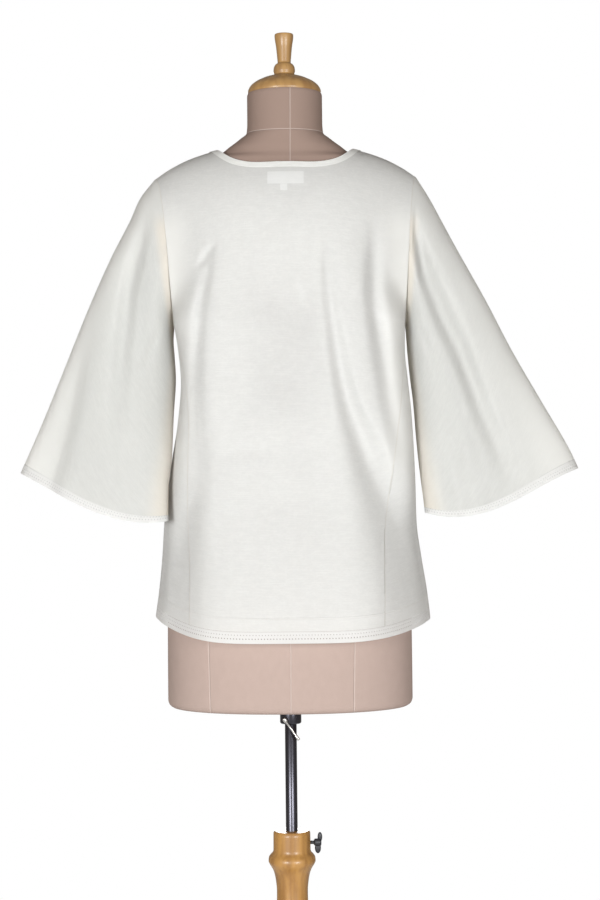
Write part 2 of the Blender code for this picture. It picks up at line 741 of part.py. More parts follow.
def locking_pin():
    """The slim pin that hangs across the back of the socket."""
    profile = ((0.0, 0.0020), (0.0015, 0.0030), (0.0060, 0.0030), (0.0080, 0.0015))
    profile += ((0.0300, 0.0015), (0.0320, 0.0021), (0.0370, 0.0021), (0.0380, 0.0014))
    obj = turned("socket_pin", profile, 10, "pole_steel")
    behind = -(SOCKET_RADIUS + 0.0018)
    start, end = Vector((-0.0100, behind, 0.6225)), Vector((0.0115, behind, 0.5915))
    turn = (end - start).to_track_quat("Z", "Y").to_matrix().to_4x4()
    obj.data.transform(Matrix.Translation(start) @ turn)
    return obj


def clamp_screw():
    """The wing screw that clamps the pole: a stem, a hub and two lobes."""
    bm = bmesh.new()
    stem = ((POLE_RADIUS + SEAM_GAP, SCREW_RADIUS), (0.0312, SCREW_RADIUS))
    hub = ((0.0312, 0.0038), (0.0325, 0.0045), (0.0400, 0.0042), (0.0415, 0.0032))
    profile = [(stem[0][0], 0.0), *stem, *hub, (hub[-1][0], 0.0)]
    verts = [bm.verts.new((along_x, 0.0, radius)) for along_x, radius in profile]
    edges = [bm.edges.new(pair) for pair in zip(verts, verts[1:])]
    bmesh.ops.spin(
        bm,
        geom=verts + edges,
        cent=(0, 0, 0),
        axis=(1, 0, 0),
        angle=2 * math.pi,
        steps=12,
        use_merge=True,
    )
    bmesh.ops.remove_doubles(bm, verts=bm.verts[:], dist=1e-6)
    bmesh.ops.translate(bm, vec=(0, 0, SCREW_Z), verts=bm.verts[:])
    screw = add_part("clamp_screw", bm, "screw_black")
    for tag, hand, lean in (("upper", 1, 0.0022), ("lower", -1, 0.0)):
        lobe = bmesh.new()
        bmesh.ops.create_uvsphere(lobe, u_segments=10, v_segments=6, radius=1)
        lobe_height = WING_SPAN / 2 - 0.002
        size = (0.0042, WING_THICKNESS / 2, lobe_height / 2)
        bmesh.ops.scale(lobe, vec=size, verts=lobe.verts[:])
        place = (0.0398 + lean, 0, SCREW_Z + hand * (0.002 + lobe_height / 2))
        bmesh.ops.translate(lobe, vec=place, verts=lobe.verts[:])
        wing = add_part(f"wing_{tag}", lobe, "screw_black")
        wing.hide_render = True
        wing.display_type = "WIRE"
        union = screw.modifiers.new(tag, "BOOLEAN")
        union.operation = "UNION"
        union.object = wing
    return screw


def tunic():
    panel("back_panel", -1.0, 15, 7, 14, 12, BACK_NECK_T)
    panel("front_panel", 1.0, 14, 8, 14, 12, FRONT_NECK_T)
    side_gore("side_gore_left", -1, 15, 12)
    side_gore("side_gore_right", 1, 15, 12)
    neck_binding(40, 3)
    around = np.arange(72) / 72 * 4 - 1
    laced = HEM_LACE_WIDTH / (UNDERARM_Z - HEM["back"][1])
    v = np.array([-laced, -laced / 2, -0.0014])[:, None] * np.ones(72)
    body_wall("hem_lace", -1.0, around + 0 * v, v, "ivory_lace", 0.0, TRIM_WALL, True)
    for name, hand in (("left", -1), ("right", 1)):
        edge = 1 - CUFF_LACE_WIDTH / 0.36
        steps = np.concatenate([[0, 0.03], np.linspace(0.08, edge - 0.0008, 12)])
        sleeve_wall(f"sleeve_{name}", hand, steps, 28)
        sleeve_wall(f"cuff_lace_{name}", hand, np.array([edge, 1.0]), 28, "ivory_lace", TRIM_WALL)
    behind = -(WALL + LAID_GAP)
    back_patch("neck_label", (-0.0240, 0.0256), (1.3714, 1.3900), 5, 3, behind)
    back_patch("size_tab", (-0.0068, 0.0032), (1.3620, 1.3711), 2, 2, behind)


def form_and_stand():
    dress_form(32)
    turned("neck_cap", CAP_PROFILE, 20, "turned_wood")
    socket()
    locking_pin()
    rod("stand_pole", (0, 0, POLE_FOOT_Z), (0, 0, POLE_HEAD_Z), POLE_RADIUS, 24)
    column()
    clamp_screw()
    turned("stand_base", BASE_PROFILE, 30, "turned_wood")


clear_scene()
tunic()
form_and_stand()
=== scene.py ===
"""The tunic on its dress form as it looks: dense cloth shells, trims, turned pieces and a studio.

Metres, +Z up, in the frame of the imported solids. The tunic's back faces -Y.
"""

import math

import bmesh
import bpy
import numpy as np
from mathutils import Matrix, Vector


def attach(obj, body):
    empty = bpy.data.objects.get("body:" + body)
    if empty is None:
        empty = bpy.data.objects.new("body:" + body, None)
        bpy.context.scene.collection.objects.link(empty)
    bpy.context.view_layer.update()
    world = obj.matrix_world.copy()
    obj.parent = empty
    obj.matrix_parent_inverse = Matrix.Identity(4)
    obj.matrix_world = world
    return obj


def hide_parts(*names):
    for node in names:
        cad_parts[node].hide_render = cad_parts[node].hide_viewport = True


bl_info = {
    "name": "Kurta tunic on a dress form",
    "version": (1, 0, 0),
    "blender": (4, 5, 0),
    "location": "3D View > Sidebar > Tunic",
    "description": "Builds the detailed tunic, its dress form and a plain studio",
    "category": "Object",
}

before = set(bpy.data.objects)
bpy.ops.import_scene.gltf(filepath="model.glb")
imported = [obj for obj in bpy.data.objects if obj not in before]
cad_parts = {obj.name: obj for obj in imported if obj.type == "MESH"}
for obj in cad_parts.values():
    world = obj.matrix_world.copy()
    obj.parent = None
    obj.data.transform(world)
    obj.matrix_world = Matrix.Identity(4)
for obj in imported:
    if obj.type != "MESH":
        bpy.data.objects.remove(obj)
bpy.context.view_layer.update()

# The body's form, in metres, powers and shares
UNDERARM_Z = 1.180
UNDERARM_HALF_WIDTH = 0.166
SHOULDER_TIP_X = 0.187
SEAM_BEHIND_TOP = 0.008
ARMHOLE_HALF_DEPTH = 0.062
SECTION_POWER = 3.3
UPPER_SECTION_POWER = 4
UPPER_SECTION_T = 0.3
PROFILE_POWER = 0.9
RISE_POWER = 0.8
WIDEN_POWER = 2.2
HEM_RISE_POWER = 4
SIDE_OPEN = 0.99
ARMHOLE_START = 0.03
# The neck's edge, its heights as shares of the way up from the underarm, and its band
NECK_HALF_WIDTH = 0.0985
NECK_ROUNDNESS = 0.45
BACK_NECK_T = 0.627
FRONT_NECK_T = 0.440
NECK_BAND_WIDTH = 0.010
TOP_GAP_T = 0.0004
# How far down the sleeve its armhole's shape reaches, and where its section is full
SLEEVE_BLEND_S = 0.35
SLEEVE_FULL_S = 0.3
SLEEVE_FOLD_GAIN = 1.2
# Thin pieces of cloth, and the lines that show on them
CLOTH_THICKNESS = 0.0008
LACE_THICKNESS = 0.0007
TAPE_THICKNESS = 0.0006
HEM_LACE_DEPTH = 0.016
CUFF_LACE_DEPTH = 0.011
CUFF_EDGE_S = 0.9694
GROOVE_WIDTH = 0.0014
HEM_FOLD_TOP = 0.0190
HEM_STITCH = 0.0166
NECK_STITCH = 0.0088
# The stand
BORE_RADIUS = 0.0088
BORE_BOTTOM = 0.068
SCREW_Z = 0.4425
# The studio
CAMERA_X = 0.0171
CAMERA_TURN = 0.010
AIM = (0, 0, 1.05)
LIGHT_COLOUR = (0.97, 1.0, 1.02)
# Names that the meshes and their materials share
CLOTH_MAP = "cloth"
EDGES = "edges"


def table(columns, *rows):
    """A short table: each named column as an array, read by its first column."""
    return dict(zip(columns.split(), np.array(rows, float).T))


def folds(columns, *each):
    """The tables of several folds that have the same columns."""
    return tuple(table(columns, *rows) for rows in each)


# Half widths and depths of the body at heights up to the underarm
BODY = table(
    "z left right back front",
    (0.700, 0.198, 0.206, 0.158, 0.156),
    (0.769, 0.191, 0.2005, 0.150, 0.148),
    (0.803, 0.1863, 0.1966, 0.144, 0.143),
    (0.846, 0.1816, 0.1898, 0.137, 0.138),
    (0.900, 0.1775, 0.1828, 0.130, 0.133),
    (0.974, 0.1680, 0.1805, 0.121, 0.128),
    (1.047, 0.1560, 0.1770, 0.1165, 0.125),
    (1.100, 0.1515, 0.1720, 0.1158, 0.128),
    (1.145, 0.1550, 0.1680, 0.1160, 0.134),
    (1.200, 0.1640, 0.1690, 0.1165, 0.135),
)
# Height of the shoulders' top, from the middle of the neck out
RIDGE = table(
    "x height",
    (0.0, 1.4410),
    (0.060, 1.4375),
    (0.0985, 1.4302),
    (0.1367, 1.4185),
    (0.1654, 1.4045),
    (0.187, 1.3900),
)
# The hem is lowest at the middles of back and front, and rises round the sides
HEM = table("across back front", (-1.0, 0.786, 0.786), (0.0, 0.758, 0.762), (1.0, 0.779, 0.779))
# Where the side gores are sewn, as a share of the way round to the side
GORE = table(
    "rise left right",
    (-0.10, 0.49, 0.435),
    (0.0, 0.51, 0.45),
    (0.30, 0.57, 0.52),
    (0.63, 0.67, 0.66),
    (0.85, 0.82, 0.82),
    (1.0, SIDE_OPEN, SIDE_OPEN),
)
SLEEVE_LEFT = table(
    "s outer_x outer_y outer_z inner_x inner_y inner_z depth sag",
    (0.0, 0.187, 0.000, 1.3900, 0.1605, 0.000, 1.180, 0.062, 0.0),
    (0.077, 0.2087, 0.000, 1.3628, 0.1615, -0.001, 1.159, 0.062, 0.0),
    (0.149, 0.2225, 0.000, 1.3330, 0.1600, -0.003, 1.139, 0.062, 0.001),
    (0.270, 0.2480, -0.002, 1.2835, 0.1580, -0.008, 1.106, 0.060, 0.002),
    (0.460, 0.2840, -0.005, 1.2040, 0.1603, -0.026, 1.054, 0.056, 0.006),
    (0.676, 0.3215, -0.009, 1.1120, 0.1617, -0.052, 0.995, 0.050, 0.0100),
    (0.838, 0.3500, -0.012, 1.0430, 0.1660, -0.068, 0.951, 0.045, 0.0134),
    (1.0, 0.3804, -0.015, 0.9747, 0.1660, -0.078, 0.9066, 0.040, 0.0168),
)
SLEEVE_RIGHT = table(
    "s outer_x outer_y outer_z inner_x inner_y inner_z depth sag",
    (0.0, 0.187, 0.000, 1.3900, 0.1690, 0.000, 1.180, 0.062, 0.0),
    (0.081, 0.2070, 0.000, 1.3580, 0.1702, -0.001, 1.159, 0.062, 0.0),
    (0.150, 0.2222, 0.000, 1.3293, 0.1712, -0.003, 1.140, 0.062, 0.001),
    (0.252, 0.2447, -0.002, 1.2861, 0.1734, -0.006, 1.112, 0.060, 0.0025),
    (0.425, 0.2838, -0.005, 1.2143, 0.1780, -0.014, 1.066, 0.056, 0.006),
    (0.595, 0.3202, -0.008, 1.1424, 0.1808, -0.022, 1.021, 0.052, 0.010),
    (0.769, 0.3608, -0.011, 1.0704, 0.1848, -0.030, 0.974, 0.047, 0.014),
    (0.943, 0.4014, -0.014, 0.9986, 0.1900, -0.036, 0.928, 0.042, 0.018),
    (1.0, 0.4125, -0.015, 0.9741, 0.1915, -0.038, 0.9132, 0.040, 0.0189),
)
# How far the sag of a sleeve's underside leans to its inner edge
SAG_LEAN = {-1: 0.60, 1: 0.90}
# Folds of the back: troughs have a positive depth and ridges a negative one, and
# left and right are how far their walls reach on either side
BACK_FOLDS = folds(
    "z x depth left right",
    (
        (0.735, 0.186, 0.040, 0.056, 0.100),
        (0.798, 0.184, 0.040, 0.054, 0.100),
        (0.860, 0.170, 0.038, 0.050, 0.090),
        (0.890, 0.158, 0.036, 0.044, 0.070),
        (0.921, 0.144, 0.031, 0.034, 0.050),
        (0.962, 0.123, 0.025, 0.025, 0.034),
        (1.003, 0.106, 0.021, 0.019, 0.024),
        (1.044, 0.092, 0.017, 0.015, 0.017),
        (1.085, 0.080, 0.014, 0.012, 0.013),
        (1.167, 0.066, 0.009, 0.009, 0.010),
        (1.249, 0.057, 0.005, 0.0065, 0.008),
        (1.300, 0.056, 0.0, 0.006, 0.007),
    ),
    (
        (0.930, 0.160, 0.0, 0.012, 0.012),
        (1.003, 0.154, 0.004, 0.012, 0.012),
        (1.085, 0.139, 0.008, 0.012, 0.012),
        (1.167, 0.128, 0.012, 0.012, 0.013),
        (1.208, 0.122, 0.012, 0.012, 0.012),
        (1.249, 0.121, 0.009, 0.010, 0.012),
        (1.290, 0.122, 0.004, 0.009, 0.011),
        (1.325, 0.122, 0.0, 0.009, 0.010),
    ),
    (
        (0.740, -0.170, 0.034, 0.080, 0.046),
        (0.800, -0.168, 0.036, 0.080, 0.044),
        (0.860, -0.158, 0.032, 0.080, 0.036),
        (0.900, -0.148, 0.024, 0.070, 0.028),
        (0.940, -0.136, 0.014, 0.060, 0.022),
        (0.985, -0.128, 0.008, 0.050, 0.020),
        (1.030, -0.128, 0.004, 0.040, 0.018),
        (1.080, -0.130, 0.0, 0.030, 0.014),
    ),
    (
        (1.020, -0.128, 0.0, 0.012, 0.012),
        (1.085, -0.128, 0.005, 0.011, 0.011),
        (1.167, -0.122, 0.006, 0.010, 0.009),
        (1.215, -0.116, 0.006, 0.009, 0.008),
        (1.255, -0.108, 0.003, 0.009, 0.008),
        (1.300, -0.100, 0.0, 0.009, 0.008),
    ),
    (
        (1.252, -0.124, 0.0, 0.007, 0.006),
        (1.270, -0.112, 0.004, 0.007, 0.006),
        (1.290, -0.098, 0.0, 0.007, 0.006),
    ),
    (
        (1.255, 0.000, 0.0, 0.004, 0.004),
        (1.280, -0.002, 0.0013, 0.004, 0.004),
        (1.351, -0.008, 0.0, 0.003, 0.003),
    ),
    (
        (1.195, 0.028, 0.0, 0.004, 0.004),
        (1.225, 0.017, 0.0014, 0.004, 0.004),
        (1.252, 0.005, 0.0, 0.004, 0.004),
    ),
)
FRONT_FOLDS = folds(
    "z x depth width",
    (
        (0.740, 0.082, 0.008, 0.018),
        (0.900, 0.078, 0.009, 0.018),
        (1.050, 0.072, 0.006, 0.014),
        (1.170, 0.068, 0.0, 0.011),
    ),
    (
        (0.740, -0.094, 0.008, 0.018),
        (0.880, -0.088, 0.008, 0.018),
        (1.030, -0.076, 0.007, 0.014),
        (1.190, -0.072, 0.0, 0.011),
    ),
    (
        (0.740, 0.010, 0.005, 0.018),
        (0.860, 0.004, 0.004, 0.016),
        (0.980, -0.002, 0.0, 0.013),
    ),
    (
        (1.180, -0.122, 0.0, 0.010),
        (1.240, -0.116, 0.003, 0.010),
        (1.310, -0.125, 0.0, 0.010),
    ),
    (
        (1.160, 0.116, 0.0, 0.010),
        (1.225, 0.112, 0.003, 0.010),
        (1.300, 0.121, 0.0, 0.010),
    ),
)
SLEEVE_FOLDS_LEFT = (
    table(
        "s across depth width",
        (0.04, 0.62, 0.0, 0.20),
        (0.20, 0.48, 0.008, 0.22),
        (0.38, 0.18, 0.008, 0.20),
        (0.56, -0.02, 0.005, 0.18),
        (0.74, -0.10, 0.0, 0.16),
    ),
    table(
        "s across depth left right",
        (0.36, 0.98, 0.0, 0.30, 0.40),
        (0.55, 0.84, 0.007, 0.22, 0.60),
        (0.68, 0.72, 0.009, 0.18, 0.60),
        (0.83, 0.62, 0.009, 0.16, 0.60),
        (1.05, 0.56, 0.008, 0.16, 0.60),
    ),
    table(
        "s across depth width",
        (0.16, -0.55, 0.0, 0.07),
        (0.28, -0.42, 0.0020, 0.07),
        (0.44, -0.34, 0.0, 0.07),
    ),
)
SLEEVE_FOLDS_RIGHT = (
    table(
        "s across depth left right",
        (0.02, 0.34, 0.004, 0.22, 0.20),
        (0.13, 0.10, 0.013, 0.22, 0.24),
        (0.30, 0.06, 0.014, 0.20, 0.22),
        (0.48, 0.10, 0.013, 0.18, 0.18),
        (0.65, 0.10, 0.010, 0.16, 0.16),
        (0.82, 0.12, 0.006, 0.15, 0.15),
        (0.98, 0.12, 0.0, 0.15, 0.15),
    ),
    table(
        "s across depth width",
        (0.62, -0.66, 0.0, 0.16),
        (0.85, -0.62, 0.006, 0.18),
        (1.05, -0.60, 0.007, 0.18),
    ),
    table(
        "s across depth width",
        (0.14, -0.62, 0.0, 0.06),
        (0.24, -0.50, 0.0020, 0.06),
        (0.38, -0.45, 0.0, 0.06),
    ),
)
FORM = table(
    "z half_width back front middle",
    (0.6400, 0.1680, 0.1060, 0.1040, 0.0),
    (0.6430, 0.1722, 0.1102, 0.1082, 0.0),
    (0.6500, 0.1743, 0.1125, 0.1105, 0.0),
    (0.7700, 0.1738, 0.1130, 0.1090, 0.0),
    (0.8600, 0.1700, 0.1120, 0.1080, 0.0),
    (0.9500, 0.1500, 0.1030, 0.1000, 0.0),
    (1.0200, 0.1290, 0.0920, 0.0920, 0.0),
    (1.0640, 0.1210, 0.0860, 0.0880, 0.0),
    (1.1200, 0.1260, 0.0880, 0.1000, 0.0),
    (1.1800, 0.1380, 0.0940, 0.1160, 0.0),
    (1.2500, 0.1480, 0.0985, 0.1240, 0.0),
    (1.3000, 0.1540, 0.0985, 0.1150, 0.0),
    (1.3400, 0.1580, 0.0900, 0.0980, -0.0010),
    (1.3680, 0.1612, 0.0770, 0.0830, -0.0030),
    (1.3880, 0.1610, 0.0650, 0.0725, -0.0060),
    (1.3975, 0.1590, 0.0590, 0.0675, -0.0070),
    (1.4045, 0.1545, 0.0550, 0.0640, -0.0075),
    (1.4084, 0.1495, 0.0530, 0.0620, -0.0075),
    (1.4145, 0.1350, 0.0510, 0.0595, -0.0075),
    (1.4178, 0.1190, 0.0505, 0.0580, -0.0065),
    (1.4215, 0.0985, 0.0505, 0.0562, -0.0050),
    (1.4350, 0.0793, 0.0525, 0.0550, -0.0020),
    (1.4460, 0.0650, 0.0541, 0.0541, 0.0),
    (1.4550, 0.0548, 0.0538, 0.0538, 0.0),
    (1.4700, 0.0536, 0.0536, 0.0536, 0.0),
    (1.5080, 0.0535, 0.0535, 0.0535, 0.0),
    (1.5115, 0.0525, 0.0525, 0.0525, 0.0),
)
FORM_SECTION_POWER = 2.2

# Turned profiles: height and radius of each ring
CAP_PROFILE = table(
    "z r",
    (1.5118, 0.0516),
    (1.5140, 0.0522),
    (1.5165, 0.0518),
    (1.5190, 0.0508),
    (1.5225, 0.0486),
    (1.5260, 0.0448),
    (1.5290, 0.0404),
    (1.5315, 0.0352),
    (1.5340, 0.0298),
    (1.5362, 0.0228),
    (1.5382, 0.0160),
    (1.5400, 0.0144),
    (1.5440, 0.0154),
    (1.5485, 0.0150),
    (1.5530, 0.0130),
    (1.5565, 0.0094),
    (1.5620, 0.0098),
    (1.5780, 0.0113),
    (1.5945, 0.0134),
    (1.5968, 0.0130),
    (1.5975, 0.0105),
)
COLUMN_PROFILE = table(
    "z r",
    (0.0553, 0.0330),
    (0.0640, 0.0350),
    (0.0740, 0.0335),
    (0.0820, 0.0270),
    (0.1100, 0.0255),
    (0.1600, 0.0300),
    (0.2200, 0.0325),
    (0.2900, 0.0290),
    (0.3500, 0.0226),
    (0.3740, 0.0221),
    (0.3890, 0.0234),
    (0.4000, 0.0256),
    (0.4060, 0.0279),
    (0.4120, 0.0316),
    (0.4165, 0.0336),
    (0.4210, 0.0335),
    (0.4255, 0.0310),
    (0.4310, 0.0266),
    (0.4570, 0.0263),
    (0.4600, 0.0242),
)
BASE_PROFILE = table(
    "z r",
    (0.0, 0.1720),
    (0.0030, 0.175),
    (0.0140, 0.175),
    (0.0200, 0.1710),
    (0.0240, 0.1600),
    (0.0290, 0.1100),
    (0.0360, 0.0650),
    (0.0450, 0.0480),
    (0.0510, 0.0450),
    (0.0550, 0.0420),
)


def ease(share):
    """A share from 0 to 1 that starts and ends softly."""
    return share * share * (3 - 2 * share)


def along(rows, column, at):
    """One column of a table, read smoothly and with no overshoot at values of its first."""
    keys = next(iter(rows.values()))
    values = rows[column]
    rise = np.diff(values) / np.diff(keys)
    both = rise[:-1] * rise[1:]
    middle = np.divide(2 * both, rise[:-1] + rise[1:], out=np.zeros_like(both), where=both > 0)
    slopes = np.concatenate([rise[:1], middle, rise[-1:]])
    at = np.clip(at, keys[0], keys[-1])
    i = np.clip(np.searchsorted(keys, at) - 1, 0, len(keys) - 2)
    step = keys[i + 1] - keys[i]
    f = (at - keys[i]) / step
    eased = ease(f)
    into = f * (1 - f) ** 2 * step * slopes[i]
    out = f * f * (f - 1) * step * slopes[i + 1]
    return values[i] * (1 - eased) + values[i + 1] * eased + into + out


def signed_power(value, power):
    return np.sign(value) * np.abs(value) ** power


def fold_relief(folds, key, place, across):
    """How far the folds push the cloth in, at a place along them and across them."""
    total = np.zeros(np.broadcast(place, across).shape)
    for fold in folds:
        keys = next(iter(fold.values()))
        line = along(fold, key, place)
        sides = ("left", "right") if "left" in fold else ("width", "width")
        left, right = (along(fold, side, place) for side in sides)
        width = np.where(across < line, left, right)
        inside = (place >= keys[0]) & (place <= keys[-1])
        depth = np.where(inside, along(fold, "depth", place), 0.0)
        total = total + depth * np.exp(-(((across - line) / width) ** 2))
    return total


def softness(x, z):
    """Slight unevenness of cloth that hangs free, in metres."""
    slow = np.sin(31 * x + 9 * z + 1.3) * np.sin(17 * z - 12 * x + 0.4)
    quick = np.sin(83 * x - 21 * z) * np.sin(47 * z + 26 * x + 2.1)
    return 0.0003 * slow + 0.00018 * quick


def half_width_above(half, t):
    """The body's half width above the underarm, where it is half, to the shoulder's tip."""
    return half + (SHOULDER_TIP_X - half) * t**WIDEN_POWER


def body_surface(side, w, v):
    """The outside of the tunic's body.

    side is -1 behind and +1 in front. w runs from -1 at the left side to +1 at the right,
    and past them on to the other side. v is 0 at the hem, 1 at the underarm and 2 on the
    shoulders' top.
    """
    side, w, v = np.broadcast_arrays(np.asarray(side, float), w, v)
    over = (np.abs(w) > 1) & (v <= 1)
    side = np.where(over, -side, side)
    w = np.where(over, np.sign(w) * (2 - np.abs(w)), np.clip(w, -1, 1))
    hand = np.where(w < 0, -1.0, 1.0)
    reach = np.sin(np.abs(w) * math.pi / 2)
    deep = np.maximum(1 - reach**SECTION_POWER, 0) ** (1 / SECTION_POWER)

    rise = np.minimum(v, 1)
    side_hem = np.where(hand < 0, HEM["back"][0], HEM["back"][2])
    middle = np.where(side < 0, HEM["back"][1], HEM["front"][1])
    hem = middle + (side_hem - middle) * reach**HEM_RISE_POWER
    z_low = hem + rise * (UNDERARM_Z - hem)
    z_low = np.where(v < 0, hem + v * (UNDERARM_Z - HEM["back"][1]), z_low)
    half = np.where(hand < 0, along(BODY, "left", z_low), along(BODY, "right", z_low))
    depth = np.where(side < 0, along(BODY, "back", z_low), along(BODY, "front", z_low))

    t = np.maximum(v - 1, 0)
    turn = t * math.pi / 2
    half_up = half_width_above(half, t)
    ridge = along(RIDGE, "height", SHOULDER_TIP_X * reach)
    upper = ease(np.clip(t / UPPER_SECTION_T, 0, 1))
    deep = deep + (1 - reach**UPPER_SECTION_POWER - deep) * upper
    rise_power = RISE_POWER * deep + 2 * (1 - deep)
    z_up = UNDERARM_Z + (ridge - UNDERARM_Z) * np.sin(turn) ** rise_power
    y_up = depth * signed_power(np.cos(turn), PROFILE_POWER) * deep
    y_up = side * (y_up + ARMHOLE_HALF_DEPTH * np.sin(2 * turn) * (1 - deep))

    x = hand * reach * half_up
    y = y_up - SEAM_BEHIND_TOP * t**3
    z = np.where(v <= 1, z_low, z_up)
    back_relief = fold_relief(BACK_FOLDS, "x", z, x)
    front_relief = fold_relief(FRONT_FOLDS, "x", z, x)
    relief = np.where(side < 0, back_relief, front_relief) + softness(x, z)
    y = y - side * relief * np.minimum(2.0 * deep, 1) * (1 - t**6)
    return np.stack([x, y, z], axis=-1)


def sleeve_rows(hand):
    return SLEEVE_LEFT if hand < 0 else SLEEVE_RIGHT


def plain_sleeve(hand, s, theta):
    """A sleeve without folds, from a plain oval at its armhole."""
    rows = sleeve_rows(hand)
    outer = np.stack([along(rows, f"outer_{k}", s) for k in "xyz"], axis=-1)
    inner = np.stack([along(rows, f"inner_{k}", s) for k in "xyz"], axis=-1)
    middle, half = (outer + inner) / 2, (outer - inner) / 2
    length = np.hypot(half[..., 0], half[..., 2])
    down = np.stack([half[..., 2], 0 * length, -half[..., 0]], axis=-1) / length[..., None]
    c, q = np.cos(theta), np.sin(theta)
    sag = along(rows, "sag", s) * q * q * (1 - SAG_LEAN[hand] * c)
    point = middle + half * c[..., None] + down * sag[..., None]
    power = 1 - 0.2 * np.minimum(s / SLEEVE_FULL_S, 1)
    point[..., 1] -= along(rows, "depth", s) * signed_power(q, power)
    point[..., 0] *= hand
    return point


def armhole(hand, theta):
    """The armhole's edge, from the shoulder's tip down the back and up the front."""
    back = theta <= math.pi
    t = np.where(back, 1 - theta / math.pi, theta / math.pi - 1)
    return body_surface(np.where(back, -1.0, 1.0), hand * np.ones_like(theta), 1 + t)


def sleeve_surface(hand, s, theta):
    """The outside of a sleeve: s runs from armhole to cuff, theta once round it."""
    s, theta = np.broadcast_arrays(np.asarray(s, float), theta)
    theta = np.mod(theta, 2 * math.pi)
    point = plain_sleeve(hand, s, theta)
    start = armhole(hand, theta) - plain_sleeve(hand, np.zeros_like(s), theta)
    point = point + start * (np.maximum(1 - s / SLEEVE_BLEND_S, 0) ** 2)[..., None]
    folds = SLEEVE_FOLDS_LEFT if hand < 0 else SLEEVE_FOLDS_RIGHT
    relief = fold_relief(folds, "across", s, np.cos(theta))
    soft = softness(point[..., 0], point[..., 2]) * np.minimum(s * 6, 1)
    relief = relief * SLEEVE_FOLD_GAIN + soft
    point[..., 1] += relief * np.sin(theta)
    return point


def outward(surface, a, b, step=1e-3):
    """Unit normals of a surface of two variables."""
    da = surface(a + step, b) - surface(a - step, b)
    db = surface(a, b + step) - surface(a, b - step)
    normal = np.cross(da, db)
    return normal / np.linalg.norm(normal, axis=-1, keepdims=True)


def neckline(nu):
    """w of the neck's edge: nu is 0 at the middle and 90 degrees at the shoulder."""
    reach = NECK_HALF_WIDTH / SHOULDER_TIP_X * np.abs(np.sin(nu)) ** NECK_ROUNDNESS
    return np.sign(np.sin(nu)) * np.arcsin(reach) / (math.pi / 2)


def walk(side, w, v, heading, distance):
    """New w and v after a short step over the body's surface in a heading."""
    step = 1e-3
    dw = (body_surface(side, w + step, v) - body_surface(side, w - step, v)) / (2 * step)
    dv = (body_surface(side, w, v + step) - body_surface(side, w, v - step)) / (2 * step)
    ww, wv, vv = (dw * dw).sum(-1), (dw * dv).sum(-1), (dv * dv).sum(-1)
    hw, hv = (heading * dw).sum(-1) * distance, (heading * dv).sum(-1) * distance
    whole = ww * vv - wv * wv
    return w + (hw * vv - hv * wv) / whole, v + (hv * ww - hw * wv) / whole


def lengths(points, axis, closed=False):
    """Distance run along one axis of a net of points, from its first row or column."""
    if closed:
        points = np.concatenate([points, points.take([0], axis=axis)], axis=axis)
    steps = np.linalg.norm(np.diff(points, axis=axis), axis=-1)
    return np.insert(np.cumsum(steps, axis=axis), 0, 0.0, axis=axis)


def flat_net(rows, columns, closed):
    """A net of quads whose corners know their row and column; a closed one is a tube."""
    bm = bmesh.new()
    last = columns if closed else columns - 1
    bmesh.ops.create_grid(bm, x_segments=last, y_segments=rows - 1, size=0.5)
    row, column = bm.verts.layers.int.new("row"), bm.verts.layers.int.new("column")
    for vert in bm.verts:
        vert[row] = round((vert.co.y + 0.5) * (rows - 1))
        vert[column] = round((vert.co.x + 0.5) * last) % columns
        turn = 2 * math.pi * vert[column] / columns
        if closed:
            vert.co = (math.cos(turn), math.sin(turn), vert[row])
    if closed:
        bmesh.ops.remove_doubles(bm, verts=bm.verts[:], dist=1e-5)
    return bm, row, column


def add_piece(name, bm, material, body, *nodes, angle=60):
    """The finished mesh as an object that rides on a body and stands for CAD nodes."""
    bmesh.ops.recalc_face_normals(bm, faces=bm.faces[:])
    mesh = bpy.data.meshes.new(name)
    bm.to_mesh(mesh)
    bm.free()
    mesh.shade_smooth()
    mesh.set_sharp_from_angle(angle=math.radians(angle))
    obj = bpy.data.objects.new(name, mesh)
    bpy.context.scene.collection.objects.link(obj)
    mesh.materials.append(material)
    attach(obj, body)
    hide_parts(*nodes)
    return obj


def cloth_shell(name, inside, outside, closed, edges, material, *nodes):
    """A thin closed shell between two nets of points, with its cloth map and edge distances.

    edges holds, for each point, its distance from a side seam, from the lower edge and
    from the upper edge. On a sleeve the first is its share of the way round from the inner
    edge to the outer one.
    """
    rows, columns = inside.shape[:2]
    across = lengths(outside, 1, closed)
    across = across - across[:, across.shape[1] // 2][:, None]
    up = lengths(outside, 0)
    up = np.concatenate([up, up[:, :1]], axis=1) if closed else up
    bm, row, column = flat_net(rows, columns, closed)
    made = bmesh.ops.extrude_face_region(bm, geom=bm.faces[:])["geom"]
    raised = {item for item in made if isinstance(item, bmesh.types.BMVert)}
    uv = bm.loops.layers.uv.new(CLOTH_MAP)
    marks = bm.verts.layers.float_vector.new(EDGES)
    for vert in bm.verts:
        i, j = vert[row], vert[column]
        vert.co = (outside if vert in raised else inside)[i, j]
        vert[marks] = edges[i, j]
    for face in bm.faces:
        wraps = closed and max(vert[column] for vert in face.verts) == columns - 1
        for loop in face.loops:
            i, j = loop.vert[row], loop.vert[column]
            j = columns if wraps and j == 0 else j
            loop[uv].uv = (across[i, j], up[i, j])
    return add_piece(name, bm, material, "form", *nodes, angle=80)


